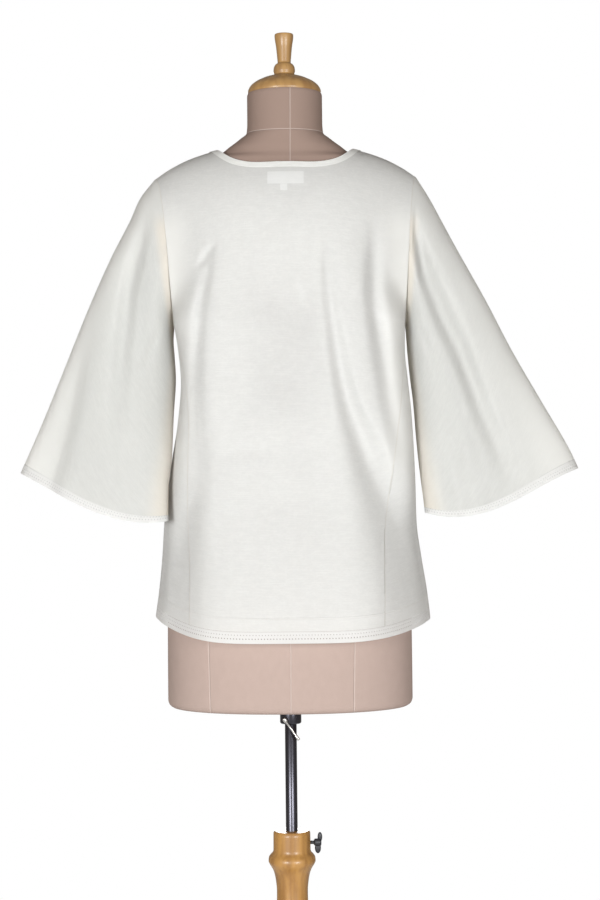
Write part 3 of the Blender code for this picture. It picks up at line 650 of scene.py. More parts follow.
def body_shell(
    name, side, w, v, material, nodes, lift=0.0, thickness=CLOTH_THICKNESS, closed=False
):
    """A thin shell on the body's surface, lifted off it, at a net of w and v."""
    normal = outward(lambda a, b: body_surface(side, a, b), w, v) * -side
    points = body_surface(side, w, v)
    outside = points + normal * lift
    across, up = lengths(outside, 1, closed), lengths(outside, 0)
    across = across[:, : outside.shape[1]]
    sides = np.minimum(across, across[:, -1:] - across)
    edges = np.stack([sides, up, up[-1:] - up], axis=-1)
    return cloth_shell(name, outside - normal * thickness, outside, closed, edges, material, *nodes)


class Value:
    """The output of a shader node, which takes part in sums as a number does."""

    def __init__(self, shader, socket):
        self.shader = shader
        self.socket = socket

    def __add__(self, other):
        return self.shader.maths("ADD", self, other)

    def __sub__(self, other):
        return self.shader.maths("SUBTRACT", self, other)

    def __rsub__(self, other):
        return self.shader.maths("SUBTRACT", other, self)

    def __mul__(self, other):
        return self.shader.maths("MULTIPLY", self, other)

    __radd__ = __add__
    __rmul__ = __mul__


class Shader:
    """A procedural material around one Principled BSDF."""

    def __init__(self, name, colour, roughness, **constants):
        self.material = bpy.data.materials.new(name)
        self.material.use_nodes = True
        self.tree = self.material.node_tree
        self.principled = self.tree.nodes["Principled BSDF"]
        self.principled.inputs["Base Color"].default_value = (*colour, 1.0)
        self.principled.inputs["Roughness"].default_value = roughness
        for socket, value in constants.items():
            self.principled.inputs[socket.replace("_", " ")].default_value = value

    def node(self, kind, settings=(), sockets=()):
        node = self.tree.nodes.new(kind)
        for name, value in dict(settings).items():
            setattr(node, name, value)
        for name, value in dict(sockets).items():
            self.feed(node.inputs[name], value)
        return node

    def feed(self, socket, value):
        if isinstance(value, Value):
            self.tree.links.new(value.socket, socket)
        else:
            socket.default_value = value

    def out(self, kind, output, settings=(), sockets=()):
        return Value(self, self.node(kind, settings, sockets).outputs[output])

    def maths(self, operation, *values):
        return self.out("ShaderNodeMath", 0, {"operation": operation}, enumerate(values))

    def within(self, value, low, high):
        """0 at low and 1 at high, smooth between them; low may be the larger."""
        rising = low < high
        ends = (low, high, 0.0, 1.0) if rising else (high, low, 1.0, 0.0)
        names = ("From Min", "From Max", "To Min", "To Max")
        sockets = {"Value": value, **dict(zip(names, ends))}
        return self.out("ShaderNodeMapRange", 0, {"interpolation_type": "SMOOTHSTEP"}, sockets)

    def vector(self, x, y, z=0.0):
        return self.out("ShaderNodeCombineXYZ", 0, (), {"X": x, "Y": y, "Z": z})

    def split(self, vector):
        node = self.node("ShaderNodeSeparateXYZ", (), {"Vector": vector})
        return [Value(self, output) for output in node.outputs]

    def noise(self, vector, scale, detail=2.0):
        sockets = {"Vector": vector, "Scale": scale, "Detail": detail}
        return self.out("ShaderNodeTexNoise", 0, (), sockets)

    def mix(self, factor, first, second):
        """A colour between two, each a colour or a node's output."""
        sockets = {"Factor": factor, 6: first, 7: second}
        return self.out("ShaderNodeMix", 2, {"data_type": "RGBA"}, sockets)

    def place(self):
        return self.split(self.out("ShaderNodeTexCoord", "Object"))

    def cloth_map(self):
        return self.split(self.out("ShaderNodeUVMap", 0, {"uv_map": CLOTH_MAP}))

    def edges(self):
        return self.split(self.out("ShaderNodeAttribute", 1, {"attribute_name": EDGES}))

    def bump(self, height, distance):
        sockets = {"Height": height, "Distance": distance}
        self.feed(self.principled.inputs["Normal"], self.out("ShaderNodeBump", 0, (), sockets))

    def set(self, name, value):
        self.feed(self.principled.inputs[name], value)


def rgb(colour, factor=1.0):
    """A colour as a shader takes it, made paler or darker by a factor."""
    return (*(min(1.0, part * factor) for part in colour), 1.0)


def woven(shader, u, v, look):
    """Height of a plain weave with slubs, from 0 to 1, and the slubs alone."""
    turns = 2 * math.pi / look.thread_pitch
    warp = shader.maths("SINE", u * turns)
    weft = shader.maths("SINE", v * turns)
    long_slubs = shader.noise(shader.vector(u * 28, v * 1150), 1.0, 3.0)
    short_slubs = shader.noise(shader.vector(u * 90, v * 1500, 4.0), 1.0, 2.0)
    upright = shader.noise(shader.vector(u * 1300, v * 22, 9.0), 1.0, 2.0)
    slubs = shader.within(long_slubs, 0.52, 0.80) + 0.6 * shader.within(short_slubs, 0.60, 0.80)
    slubs = slubs + 0.35 * shader.within(upright, 0.58, 0.80)
    return (warp * weft) * 0.12 + slubs * look.slub_height, slubs


def stitches(shader, u, distance, line):
    """A run of small stitches beside an edge, as 0 or 1."""
    row = 1 - shader.within(shader.maths("ABSOLUTE", distance - line), 0.0002, 0.0006)
    beat = shader.maths("SINE", u * (2 * math.pi / 0.0026))
    return row * shader.within(beat, -0.5, 0.1)


def cloth_material(name, colour, look, kind):
    """Ivory cloth. kind is body, sleeve, band or plain, for what shows at its edges."""
    shader = Shader(name, colour, 0.8, Specular_IOR_Level=0.25)
    u, v = shader.cloth_map()[:2]
    side, low, high = shader.edges()
    height, slubs = woven(shader, u, v, look)
    clouds = shader.noise(shader.vector(u * 75, v * 120), 1.0, 1.0)
    specks = shader.noise(shader.vector(u * 220, v * 400), 1.0, 1.0)
    tone = 1.0 + (clouds + specks - 1.0) * look.mottle + (slubs - 0.15) * look.slub_tone
    pale = rgb(colour, 1.035)
    base = shader.mix(shader.within(tone, 0.94, 1.06), rgb(colour, 0.965), pale)
    painted_warm_light, painted_through_light = rgb(look.warm_light_colour), rgb(look.through_light_colour)
    if kind == "body":
        x, _, z = shader.place()
        near_side = shader.within(shader.maths("ABSOLUTE", x), 0.120, 0.160)
        between = shader.within(z, 0.930, 1.010) * shader.within(z, 1.36, 1.30)
        # Painted light: the body's sides, between these heights, are made paler as if light came
        # through the cloth there
        base = shader.mix(near_side * between, base, painted_through_light)
        groove = shader.within(side, GROOVE_WIDTH, 0.0)
        height = height - groove * 1.6
        hem_fold = shader.within(low, HEM_FOLD_TOP, HEM_FOLD_TOP - 0.0008)
        height = height + hem_fold * 2.0
        stitch = stitches(shader, u, low, HEM_STITCH)
        height = height - stitch * 1.5
        base = shader.mix(hem_fold * 0.2, base, pale)
        # Painted warm light in the seams' grooves and along the hem's stitches
        base = shader.mix(groove * 0.25 + stitch * 0.12, base, painted_warm_light)
    elif kind == "sleeve":
        z = shader.place()[2]
        below_shoulder = shader.within(z, 1.350, 1.310)
        edge = shader.within(side, 0.22, 0.05) + shader.within(high, 0.034, 0.006) * below_shoulder
        # Painted light: the outer part of the sleeve is made paler as if light came through it
        base = shader.mix(shader.within(side, 0.55, 0.97), base, painted_through_light)
        # Painted warm light along the sleeve's inner edge, and below the shoulder along its
        # armhole, as if thrown back warm off the body and the form
        base = shader.mix(shader.within(edge, 0.0, 1.4) * 0.7, base, painted_warm_light)
        # Painted shade: a warm dark strip along the sleeve's inner edge, in the narrow gap beside
        # the body
        base = shader.mix(shader.within(side, 0.026, 0.007) * 0.5, base, rgb(look.gap_shade_colour))
        groove = shader.within(high, GROOVE_WIDTH, 0.0)
        height = height - groove * 1.6
        # Painted warm light in the armhole seam's groove
        base = shader.mix(groove * 0.3, base, painted_warm_light)
    elif kind == "band":
        height = height - stitches(shader, u, low, NECK_STITCH) * 1.5
    shader.set("Base Color", base)
    shader.bump(height, look.bump_height)
    return shader


def eyelets(shader, u, row, pitch):
    """Distance from the nearest eyelet of a row."""
    beat = shader.maths("PINGPONG", u, pitch / 2)
    return shader.maths("SQRT", beat * beat + row * row)


def lace_material(name, colour, look, depth):
    """Openwork edging: small eyelets between corded edges, with raised dots."""
    shader = Shader(name, colour, 0.8)
    u, v = shader.cloth_map()[:2]
    low, high = shader.edges()[1:]
    pitch = look.eyelet_pitch
    eyes = eyelets(shader, u, low - depth * 0.40, pitch)
    small = eyelets(shader, u + pitch / 2, low - depth * 0.72, pitch) + pitch * 0.05
    nearest = shader.maths("MINIMUM", eyes, small)
    hole = shader.within(nearest, pitch * 0.17, pitch * 0.12)
    rim = shader.within(nearest, pitch * 0.34, pitch * 0.22)
    cord = shader.within(low, 0.0018, 0.0009) + shader.within(high, 0.0016, 0.0008)
    turns = 2 * math.pi / 0.0017
    dots = shader.maths("SINE", u * turns) * shader.maths("SINE", low * turns)
    height = cord * 0.5 + dots * 0.35 + rim * 0.5
    joint_shadow = shader.within(high, 0.0009, 0.0002)
    # Painted shade between the raised dots
    shade = rgb(colour, 0.90)
    base = shader.mix(shader.within(dots, -0.7, 0.5), shade, rgb(colour))
    # Painted shade round the eyelets, and a painted shadow line along the joint at the upper edge
    base = shader.mix(rim * 0.3 + joint_shadow * 0.4, base, rgb(colour, 0.72))
    shader.set("Base Color", base)
    shader.set("Alpha", 1 - hole * look.eyelet_open)
    shader.bump(height, 0.0002)
    return shader


def rectangle(shader, x, z, middle, across, up):
    """1 in a rectangle and 0 outside it: across and up are where its soft edges end and start."""
    in_x = shader.within(shader.maths("ABSOLUTE", x - middle[0]), *across)
    in_z = shader.within(shader.maths("ABSOLUTE", z - middle[1]), *up)
    return in_x * in_z


def add_label_show_through(shader, look):
    """Painted light: the label inside the back shows faintly through the cloth as a paler patch."""
    x, y, z = shader.place()
    label = rectangle(shader, x, z, (0.0008, 1.3807), (0.0258, 0.0246), (0.0096, 0.0086))
    tab = rectangle(shader, x, z, (-0.0018, 1.3665), (0.0052, 0.0044), (0.0052, 0.0044))
    patch = shader.maths("MAXIMUM", label, tab)
    behind = shader.within(y, 0.0, -0.01)
    cloth = Value(shader, shader.principled.inputs["Base Color"].links[0].from_socket)
    pale = rgb(look.label_colour)
    shader.set("Base Color", shader.mix(patch * behind * 0.6, cloth, pale))


def seam(shader, offset):
    """A fine seam of the cover where the offset is 0."""
    return shader.within(shader.maths("ABSOLUTE", offset), 0.0013, 0.0002)


def form_material(look):
    """Dusty pink cloth drawn tight over the form, with its fine seams."""
    shader = Shader("form_cover", look.cover_colour, 0.88, Specular_IOR_Level=0.25)
    x, y, z = shader.place()
    turn = shader.maths("ARCTAN2", x, y)
    weave = shader.maths("SINE", turn * 1500) * shader.maths("SINE", z * 9000)
    mottle = shader.noise(shader.vector(turn * 14, z * 60), 1.0, 4.0)
    fine = shader.noise(shader.vector(turn * 160, z * 900), 1.0, 2.0)
    behind = shader.within(y, 0.0, -0.02)
    middle = seam(shader, x + 0.004 - z * 0.008)
    left = seam(shader, x + 0.110 + (z - 0.64) * 0.02)
    right = seam(shader, x - 0.088 - (z - 0.64) * 0.02)
    below_neck = shader.within(z, 1.440, 1.430)
    lines = behind * (middle + (left + right) * below_neck)
    lines = shader.maths("MAXIMUM", lines, seam(shader, z - 1.4548 - y * 0.03))
    tone = (mottle - 0.5) * 0.20 + (fine - 0.5) * 0.30
    light = rgb(look.cover_colour, 1.08)
    dark = rgb(look.cover_colour, 0.90)
    base = shader.mix(shader.within(tone, -0.25, 0.25), dark, light)
    neck = rgb(look.neck_colour)
    base = shader.mix(shader.within(z, 1.25, 1.35), base, neck)
    base = shader.mix(lines * 0.32, base, rgb(look.seam_colour))
    shader.set("Base Color", base)
    shader.bump(weave * 0.15 + tone * 0.6 - lines * 2.5, 0.0003)
    return shader.material


def wood_material(name, colour, dark, grain=1.0):
    """Turned and varnished wood, with grain that runs up the piece."""
    shader = Shader(name, colour, 0.42, Coat_Weight=0.2, Coat_Roughness=0.2)
    x, y, z = shader.place()
    wander = shader.noise(shader.vector(x * 6, y * 6, z * 3), 1.0, 2.0)
    rings = shader.noise(shader.vector(x * 90 + wander * 3, y * 90, z * 4.5), 1.0, 4.0)
    pores = shader.noise(shader.vector(x * 700, y * 700, z * 30), 1.0, 2.0)
    streak = shader.within(rings, 0.35, 0.70) * grain
    base = shader.mix(streak, rgb(colour), rgb(dark))
    base = shader.mix(shader.within(pores, 0.62, 0.75) * 0.35, base, rgb(dark))
    shader.set("Base Color", base)
    shader.set("Roughness", 0.36 + rings * 0.14)
    shader.bump(rings * 0.4 - shader.within(pores, 0.6, 0.75) * 0.6, 0.0002)
    return shader.material


def metal_material(name, colour, roughness, metallic, scratches):
    """Metal with fine marks that run round it or along it."""
    shader = Shader(name, colour, roughness, Metallic=metallic)
    x, y, z = shader.place()
    marks = shader.noise(shader.vector(x * 400, y * 400, z * scratches), 1.0, 3.0)
    patches = shader.noise(shader.vector(x * 60, y * 60, z * 12), 1.0, 2.0)
    shader.set("Roughness", roughness - 0.08 + marks * 0.12 + patches * 0.06)
    worn = rgb([part * 1.7 + 0.01 for part in colour])
    wear = shader.within(patches, 0.45, 0.75) * 0.5
    shader.set("Base Color", shader.mix(wear, rgb(colour), worn))
    shader.bump(marks, 0.00005)
    return shader.material


def colour_property(name, value, description):
    return bpy.props.FloatVectorProperty(
        name=name, description=description, default=value, size=3, subtype="COLOR", min=0, max=1
    )


def size_property(name, value, description):
    return bpy.props.FloatProperty(
        name=name, description=description, default=value, min=0, unit="LENGTH", precision=5
    )


def share_property(name, value, description):
    return bpy.props.FloatProperty(name=name, description=description, default=value, min=0)


class ClothLook(bpy.types.PropertyGroup):
    """Colours and weave of the tunic."""

    cloth_colour: colour_property("Cloth", (0.785, 0.777, 0.755), "Colour of the ivory cloth")
    # Painted warm light: the tint of the seams and of the sleeves' edges beside the body
    warm_light_colour: colour_property("Warm edge", (0.86, 0.79, 0.69), "Colour near the sleeves' seams")
    # Painted light: a paler tint that stands in for light that comes through the cloth
    through_light_colour: colour_property("Thin", (0.86, 0.85, 0.82), "Colour where light comes through")
    # Painted shade of the gap between a sleeve and the body
    gap_shade_colour: colour_property("Rim", (0.73, 0.56, 0.39), "Colour along the sleeves' inner edge")
    sleeve_colour: colour_property("Sleeves", (0.712, 0.706, 0.680), "Colour of cloth in one layer")
    band_colour: colour_property("Band", (0.975, 0.965, 0.94), "Colour of the neck's band")
    lace_colour: colour_property("Lace", (0.84, 0.83, 0.81), "Colour of the edging")
    label_colour: colour_property("Label", (0.92, 0.915, 0.90), "Colour of the bare label")
    thread_pitch: size_property("Thread pitch", 0.0011, "Distance between every second thread")
    slub_height: share_property("Slub height", 0.55, "Height of the slubs, against the bump height")
    slub_tone: share_property("Slub tone", 0.13, "How much paler the slubs are")
    mottle: share_property("Mottling", 0.10, "How much the cloth's tone wanders")
    bump_height: size_property("Bump height", 0.00012, "Height of the weave's relief")
    eyelet_pitch: size_property("Eyelet pitch", 0.0042, "Distance between eyelets of the edging")
    eyelet_open: share_property("Eyelet openness", 0.9, "How open the eyelets are")


class FormLook(bpy.types.PropertyGroup):
    """Colours of the form and its stand."""

    cover_colour: colour_property("Cover", (0.350, 0.264, 0.228), "Colour of the form's cover")
    neck_colour: colour_property("Neck", (0.250, 0.176, 0.143), "Colour of the cover on the neck")
    seam_colour: colour_property("Seams", (0.67, 0.56, 0.51), "Colour of the cover's seams")
    wood_colour: colour_property("Wood", (0.364, 0.186, 0.048), "Colour of the turned wood")
    wood_dark: colour_property("Wood grain", (0.240, 0.112, 0.026), "Colour of the wood's grain")
    cap_colour: colour_property("Cap", (0.345, 0.195, 0.068), "Colour of the neck's wooden cap")
    cap_dark: colour_property("Cap grain", (0.235, 0.120, 0.040), "Colour of the cap's grain")
    steel_colour: colour_property("Steel", (0.060, 0.058, 0.068), "Colour of the pole")


class StudioSetting(bpy.types.PropertyGroup):
    """Light and camera."""

    sky: share_property("Sky", 0.30, "Strength of the even light from all round")
    sky_colour: colour_property("Sky colour", (1.0, 0.93, 0.86), "Colour of the even light")
    left_light: share_property("Left light", 95.0, "Power of the left light, in watts")
    right_light: share_property("Right light", 82.0, "Power of the right light, in watts")
    far_light: share_property("Far light", 60.0, "Power of the far light, in watts")
    distance: size_property("Camera distance", 2.7, "From the camera to the pole's axis")
    camera_height: size_property("Camera height", 1.003, "Height of the camera")
    lens: share_property("Lens", 75.6, "Focal length, in millimetres")


def settings(context):
    scene = context.scene
    return scene.tunic_cloth, scene.tunic_form, scene.tunic_studio


class TUNIC_OT_form(bpy.types.Operator):
    """Build the covered torso and neck that the tunic hangs on"""

    bl_idname = "tunic.form"
    bl_label = "Dress form"

    def execute(self, context):
        look = settings(context)[1]
        z = np.concatenate([
            np.linspace(0.640, 0.650, 7),
            np.linspace(0.655, 1.375, 110),
            np.linspace(1.380, 1.460, 50),
            np.linspace(1.463, 1.5075, 14),
            np.linspace(1.5080, 1.5115, 4),
        ])
        turn = np.arange(176) / 176 * 2 * math.pi
        z, turn = np.meshgrid(z, turn, indexing="ij")
        fade = np.clip((z - 1.425) / 0.025, 0, 1)
        power = 2 / FORM_SECTION_POWER * (1 - fade) + fade
        x = along(FORM, "half_width", z) * signed_power(np.sin(turn), power)
        depth = np.where(np.cos(turn) > 0, along(FORM, "back", z), along(FORM, "front", z))
        y = along(FORM, "middle", z) - depth * signed_power(np.cos(turn), power)
        points = np.stack([x, y, z], axis=-1)
        bm, row, column = flat_net(*z.shape, True)
        for vert in bm.verts:
            vert.co = points[vert[row], vert[column]]
        bmesh.ops.holes_fill(bm, edges=[e for e in bm.edges if e.is_boundary], sides=0)
        obj = add_piece("form_body", bm, form_material(look), "form", "dress_form")
        return {"FINISHED"}


class TUNIC_OT_panels(bpy.types.Operator):
    """Build the back and the front of the tunic"""

    bl_idname = "tunic.panels"
    bl_label = "Back and front panels"

    def panel(self, name, node, side, neck_t, material):
        """One panel, whose middle columns end at the neck's edge and the others on the shoulder."""
        half_columns, neck_columns, low_rows, high_rows = 64, 30, 104, 72
        index = np.arange(-half_columns, half_columns + 1)
        share = index / half_columns
        nu = signed_power(np.clip(index / neck_columns, -1, 1), 0.85) * math.pi / 2
        neck_w = neckline(nu)
        corner = neck_w[-1]
        beyond = (np.abs(index) - neck_columns) / (half_columns - neck_columns)
        on_shoulder = np.sign(index) * (corner + (1 - corner) * beyond)
        top_w = np.where(np.abs(index) <= neck_columns, neck_w, on_shoulder)
        neck_v = 2 - (1 - neck_t) * np.cos(nu)
        top_v = np.where(np.abs(index) < neck_columns, neck_v, 2 - TOP_GAP_T)
        low = np.linspace(0, 1, low_rows, endpoint=False)
        edge_left, edge_right = -along(GORE, "left", low), along(GORE, "right", low)
        w_low = edge_left[:, None] + (edge_right - edge_left)[:, None] * (share + 1) / 2
        v_low = np.repeat(low[:, None], len(index), axis=1)
        high = np.linspace(0, 1, high_rows)
        open_w = np.minimum(SIDE_OPEN + high / ARMHOLE_START * (1 - SIDE_OPEN), 1)
        w_high = (share * (1 - high)[:, None] + top_w * high[:, None]) * open_w[:, None]
        v_high = 1 + (top_v - 1) * high[:, None]
        w, v = np.vstack([w_low, w_high]), np.vstack([v_low, v_high])
        return body_shell(name, side, w, v, material, (node,))

    def execute(self, context):
        look = settings(context)[0]
        back = cloth_material("cloth_back", look.cloth_colour, look, "body")
        add_label_show_through(back, look)
        obj = self.panel("back_cloth", "back_panel", -1.0, BACK_NECK_T, back.material)
        front = cloth_material("cloth_front", look.cloth_colour, look, "body")
        obj = self.panel("front_cloth", "front_panel", 1.0, FRONT_NECK_T, front.material)
        return {"FINISHED"}


class TUNIC_OT_gores(bpy.types.Operator):
    """Build the two side gores"""

    bl_idname = "tunic.gores"
    bl_label = "Side gores"

    def execute(self, context):
        look = settings(context)[0]
        material = cloth_material("cloth_gores", look.cloth_colour, look, "body").material
        for name, hand in (("left", -1), ("right", 1)):
            v = np.linspace(0, 1, 105)[:, None] * np.ones(56)
            edge = along(GORE, name, v[:, :1])
            w = hand * (edge + (2 - 2 * edge) * np.linspace(0, 1, 56))
            node = f"side_gore_{name}"
            obj = body_shell(f"gore_{name}_cloth", -1.0, w, v, material, (node,))
        return {"FINISHED"}


class TUNIC_OT_sleeves(bpy.types.Operator):
    """Build both sleeves and the edging of their cuffs"""

    bl_idname = "tunic.sleeves"
    bl_label = "Sleeves and cuff edging"

    def shell(self, name, hand, s, material, thickness, node):
        columns = 150
        theta = np.arange(columns) / columns * 2 * math.pi
        s, theta = np.meshgrid(s, theta, indexing="ij")
        points = sleeve_surface(hand, s, theta)
        normal = outward(lambda a, b: sleeve_surface(hand, a, b), np.maximum(s, 2e-3), theta)
        away = points - points.mean(axis=1, keepdims=True)
        normal *= np.sign((normal * away).sum(axis=-1, keepdims=True).mean())
        round_it = lengths(points, 1, True)
        to_inner = np.abs(round_it[:, :-1] - round_it[:, [columns // 2]])
        down = lengths(points, 0)
        share = to_inner / to_inner.max(axis=1, keepdims=True)
        edges = np.stack([share, down[-1:] - down, down], axis=-1)
        inside = points - normal * thickness
        return cloth_shell(name, inside, points, True, edges, material, node)

    def execute(self, context):
        look = settings(context)[0]
        material = cloth_material("cloth_sleeves", look.sleeve_colour, look, "sleeve").material
        lace = lace_material("cuff_lace", look.lace_colour, look, CUFF_LACE_DEPTH).material
        for name, hand in (("left", -1), ("right", 1)):
            steps = np.concatenate([np.linspace(0, 0.06, 8), np.linspace(0.066, CUFF_EDGE_S, 104)])
            piece = f"sleeve_{name}_cloth"
            obj = self.shell(piece, hand, steps, material, CLOTH_THICKNESS, f"sleeve_{name}")
            steps = np.linspace(CUFF_EDGE_S + 0.0006, 1.0, 7)
            piece = f"cuff_edging_{name}"
            edging = self.shell(piece, hand, steps, lace, LACE_THICKNESS, f"cuff_lace_{name}")
        return {"FINISHED"}


class TUNIC_OT_trims(bpy.types.Operator):
    """Build the neck's band, the hem's edging, the label and its tab"""

    bl_idname = "tunic.trims"
    bl_label = "Neck band, hem edging and label"

    def neck_band(self, material):
        """The band round the neck, laid on the cloth row by row, away from the neck's edge."""
        columns, rows = 360, 11
        nu = (np.arange(columns) + 0.5) / columns * 2 * math.pi
        side = np.where(np.cos(nu) > 0, -1.0, 1.0)
        neck_t = np.where(side < 0, BACK_NECK_T, FRONT_NECK_T)
        w, v = neckline(nu), 2 - (1 - neck_t) * np.abs(np.cos(nu))
        inside, outside = [], []
        for i in range(rows):
            points = body_surface(side, w, v)
            normal = outward(lambda a, b: body_surface(side, a, b), w, v) * -side[:, None]
            # The band rises from the neck's edge, swells outward and falls at its last row
            round_over = math.sin(math.pi * min(i / 3, 1) / 2)
            fall = 1 - 0.6 * max(i - rows + 2, 0)
            inside.append(points + normal * 0.0002)
            lift = 0.0003 + (0.0008 + 0.0016 * i / rows) * round_over * fall
            outside.append(points + normal * lift)
            tangent = np.roll(points, -1, axis=0) - np.roll(points, 1, axis=0)
            heading = np.cross(tangent, normal)
            heading *= np.sign((heading * (points - points.mean(axis=0))).sum(-1))[:, None]
            heading /= np.linalg.norm(heading, axis=-1, keepdims=True)
            w, v = walk(side, w, v, heading, NECK_BAND_WIDTH / (rows - 1))
        inside, outside = np.array(inside), np.array(outside)
        down = lengths(outside, 0)
        edges = np.stack([down * 0 + 1, down, down[-1:] - down], axis=-1)
        return cloth_shell("neck_band", inside, outside, True, edges, material, "neck_binding")

    def back_patch(self, name, node, x, z, counts, material):
        """A small tape inside the back, between two x and two z."""
        ridge = along(RIDGE, "height", 0.0)
        x, z = np.meshgrid(np.linspace(*x, counts[0]), np.linspace(*z, counts[1]))
        rise = (z - UNDERARM_Z) / (ridge - UNDERARM_Z)
        t = np.arcsin(rise ** (1 / RISE_POWER)) / (math.pi / 2)
        reach = np.abs(x) / half_width_above(UNDERARM_HALF_WIDTH, t)
        w = np.sign(x) * np.arcsin(reach) / (math.pi / 2)
        within = {"lift": -0.0016, "thickness": TAPE_THICKNESS}
        return body_shell(name, -1.0, w, 1 + t, material, (node,), **within)

    def execute(self, context):
        look = settings(context)[0]
        band = cloth_material("cloth_band", look.band_colour, look, "band").material
        obj = self.neck_band(band)
        lace = lace_material("hem_lace", look.lace_colour, look, HEM_LACE_DEPTH).material
        around = np.arange(640) / 640 * 4 - 1
        drop = HEM_LACE_DEPTH / (UNDERARM_Z - HEM["back"][1])
        v = np.linspace(-drop, -0.0004, 9)[:, None] * np.ones(640)
        obj = body_shell("hem_edging", -1.0, around + 0 * v, v, lace, ("hem_lace",), closed=True)
        tape = cloth_material("label_cloth", look.label_colour, look, "plain").material
        for node, x, z, counts, flat in (
            ("neck_label", (-0.0240, 0.0256), (1.3714, 1.3900), (40, 16), (0.051, 0.020)),
            ("size_tab", (-0.0068, 0.0032), (1.3620, 1.3711), (12, 12), (0.0102, 0.0102)),
        ):
            obj = self.back_patch(f"{node}_tape", node, x, z, counts, tape)
        return {"FINISHED"}


def spun(rings, steps, axis=(0, 0, 1)):
    """A closed skin spun from rings, each a radius and a place along the axis, Z or X."""
    outline = [(0.0, rings[0][1]), *rings, (0.0, rings[-1][1])]
    bm = bmesh.new()
    verts = [bm.verts.new((r, 0, at) if axis[2] else (at, 0, r)) for r, at in outline]
    edges = [bm.edges.new(pair) for pair in zip(verts, verts[1:])]
    bmesh.ops.spin(
        bm,
        geom=verts + edges,
        cent=(0, 0, 0),
        axis=axis,
        angle=2 * math.pi,
        steps=steps,
        use_merge=True,
    )
    bmesh.ops.remove_doubles(bm, verts=bm.verts[:], dist=1e-6)
    return bm


def smooth_profile(profile, per_span):
    """More points on a turned profile, rounded between its rings."""
    run = np.insert(np.cumsum(np.hypot(np.diff(profile["z"]), np.diff(profile["r"]))), 0, 0)
    line = {"run": run, "z": profile["z"], "r": profile["r"]}
    at = np.linspace(0, run[-1], per_span * (len(run) - 1) + 1)
    return along(line, "r", at), along(line, "z", at)


def turned(name, profile, steps, material, body, node, bore=()):
    """A piece of turned wood, with the rings of its bore where it has one."""
    bm = spun([*zip(*smooth_profile(profile, 6)), *bore], steps)
    add_piece(name, bm, material, body, node, angle=50)


class TUNIC_OT_wood(bpy.types.Operator):
    """Build the turned cap, the column and the base"""

    bl_idname = "tunic.wood"
    bl_label = "Turned wood"

    def execute(self, context):
        look = settings(context)[1]
        cap = wood_material("cap_wood", look.cap_colour, look.cap_dark, 0.8)
        turned("cap_and_finial", CAP_PROFILE, 72, cap, "form", "neck_cap")
        column = wood_material("column_wood", look.wood_colour, look.wood_dark)
        bore = ((BORE_RADIUS, 0.4598), (BORE_RADIUS, BORE_BOTTOM))
        turned("column", COLUMN_PROFILE, 72, column, "stand", "stand_column", bore)
        turned("base", BASE_PROFILE, 120, column, "stand", "stand_base")
        return {"FINISHED"}


class TUNIC_OT_metal(bpy.types.Operator):
    """Build the pole, the socket and its pin, and the clamp screw"""

    bl_idname = "tunic.metal"
    bl_label = "Pole, socket and clamp screw"

    def pole(self, steel):
        rings = ((0.0080, 0.210), (0.0084, 0.2106), (0.0084, 0.6336), (0.0080, 0.634))
        return add_piece("pole", spun(rings, 48), steel, "form", "stand_pole", angle=50)

    def socket(self, steel):
        rings = ((0.0150, 0.6397), (0.0152, 0.6392), (0.0152, 0.6150), (0.0148, 0.6138))
        rings += ((0.0138, 0.6130), (0.0100, 0.6130), (0.0090, 0.6136), (0.0088, 0.6345))
        return add_piece("socket", spun(rings, 60), steel, "form", "form_socket", angle=50)

    def pin(self, bright):
        rings = ((0.0020, 0.0), (0.0028, 0.0006), (0.0030, 0.0015), (0.0030, 0.0055))
        rings += ((0.0027, 0.0064), (0.0015, 0.0080), (0.0015, 0.0300), (0.0021, 0.0312))
        rings += ((0.0021, 0.0370), (0.0017, 0.0378), (0.0010, 0.0380))
        bm = spun(rings, 24)
        behind = -0.0170
        start, end = Vector((-0.0100, behind, 0.6225)), Vector((0.0115, behind, 0.5915))
        turn = (end - start).to_track_quat("Z", "Y").to_matrix().to_4x4()
        bmesh.ops.transform(bm, matrix=Matrix.Translation(start) @ turn, verts=bm.verts[:])
        return add_piece("pin", bm, bright, "form", "socket_pin", angle=50)

    def screw(self, black):
        rings = ((0.0025, 0.0087), (0.0025, 0.0312), (0.0036, 0.0312), (0.0045, 0.0325))
        rings += ((0.0058, 0.0330), (0.0056, 0.0400), (0.0048, 0.0415), (0.0032, 0.0421))
        bm = spun(rings, 32, axis=(1, 0, 0))
        lobes = ((0.0400, 0.0076, 0.0034, 0.0070), (0.0370, -0.0080, 0.0044, 0.0078))
        for x, z, thick, long in lobes:
            matrix = Matrix.Translation((x, 0, z))
            matrix = matrix @ Matrix.Diagonal((thick, 0.0022, long, 1))
            bmesh.ops.create_uvsphere(bm, u_segments=24, v_segments=14, radius=1, matrix=matrix)
        bmesh.ops.translate(bm, vec=(0, 0, SCREW_Z), verts=bm.verts[:])
        return add_piece("wing_screw", bm, black, "clamp_screw", "clamp_screw", angle=50)

    def execute(self, context):
        look = settings(context)[1]
        steel = metal_material("pole_steel", look.steel_colour, 0.30, 0.9, 14)
        bright = metal_material("pin_steel", (0.55, 0.53, 0.50), 0.28, 1.0, 60)
        black = metal_material("screw_black", (0.012, 0.012, 0.015), 0.45, 0.0, 60)
        for piece, material, slot in (
            (self.pole, steel, "pole_steel"),
            (self.socket, steel, "pole_steel"),
            (self.pin, bright, "pole_steel"),
            (self.screw, black, "screw_black"),
        ):
            piece(material)
        return {"FINISHED"}


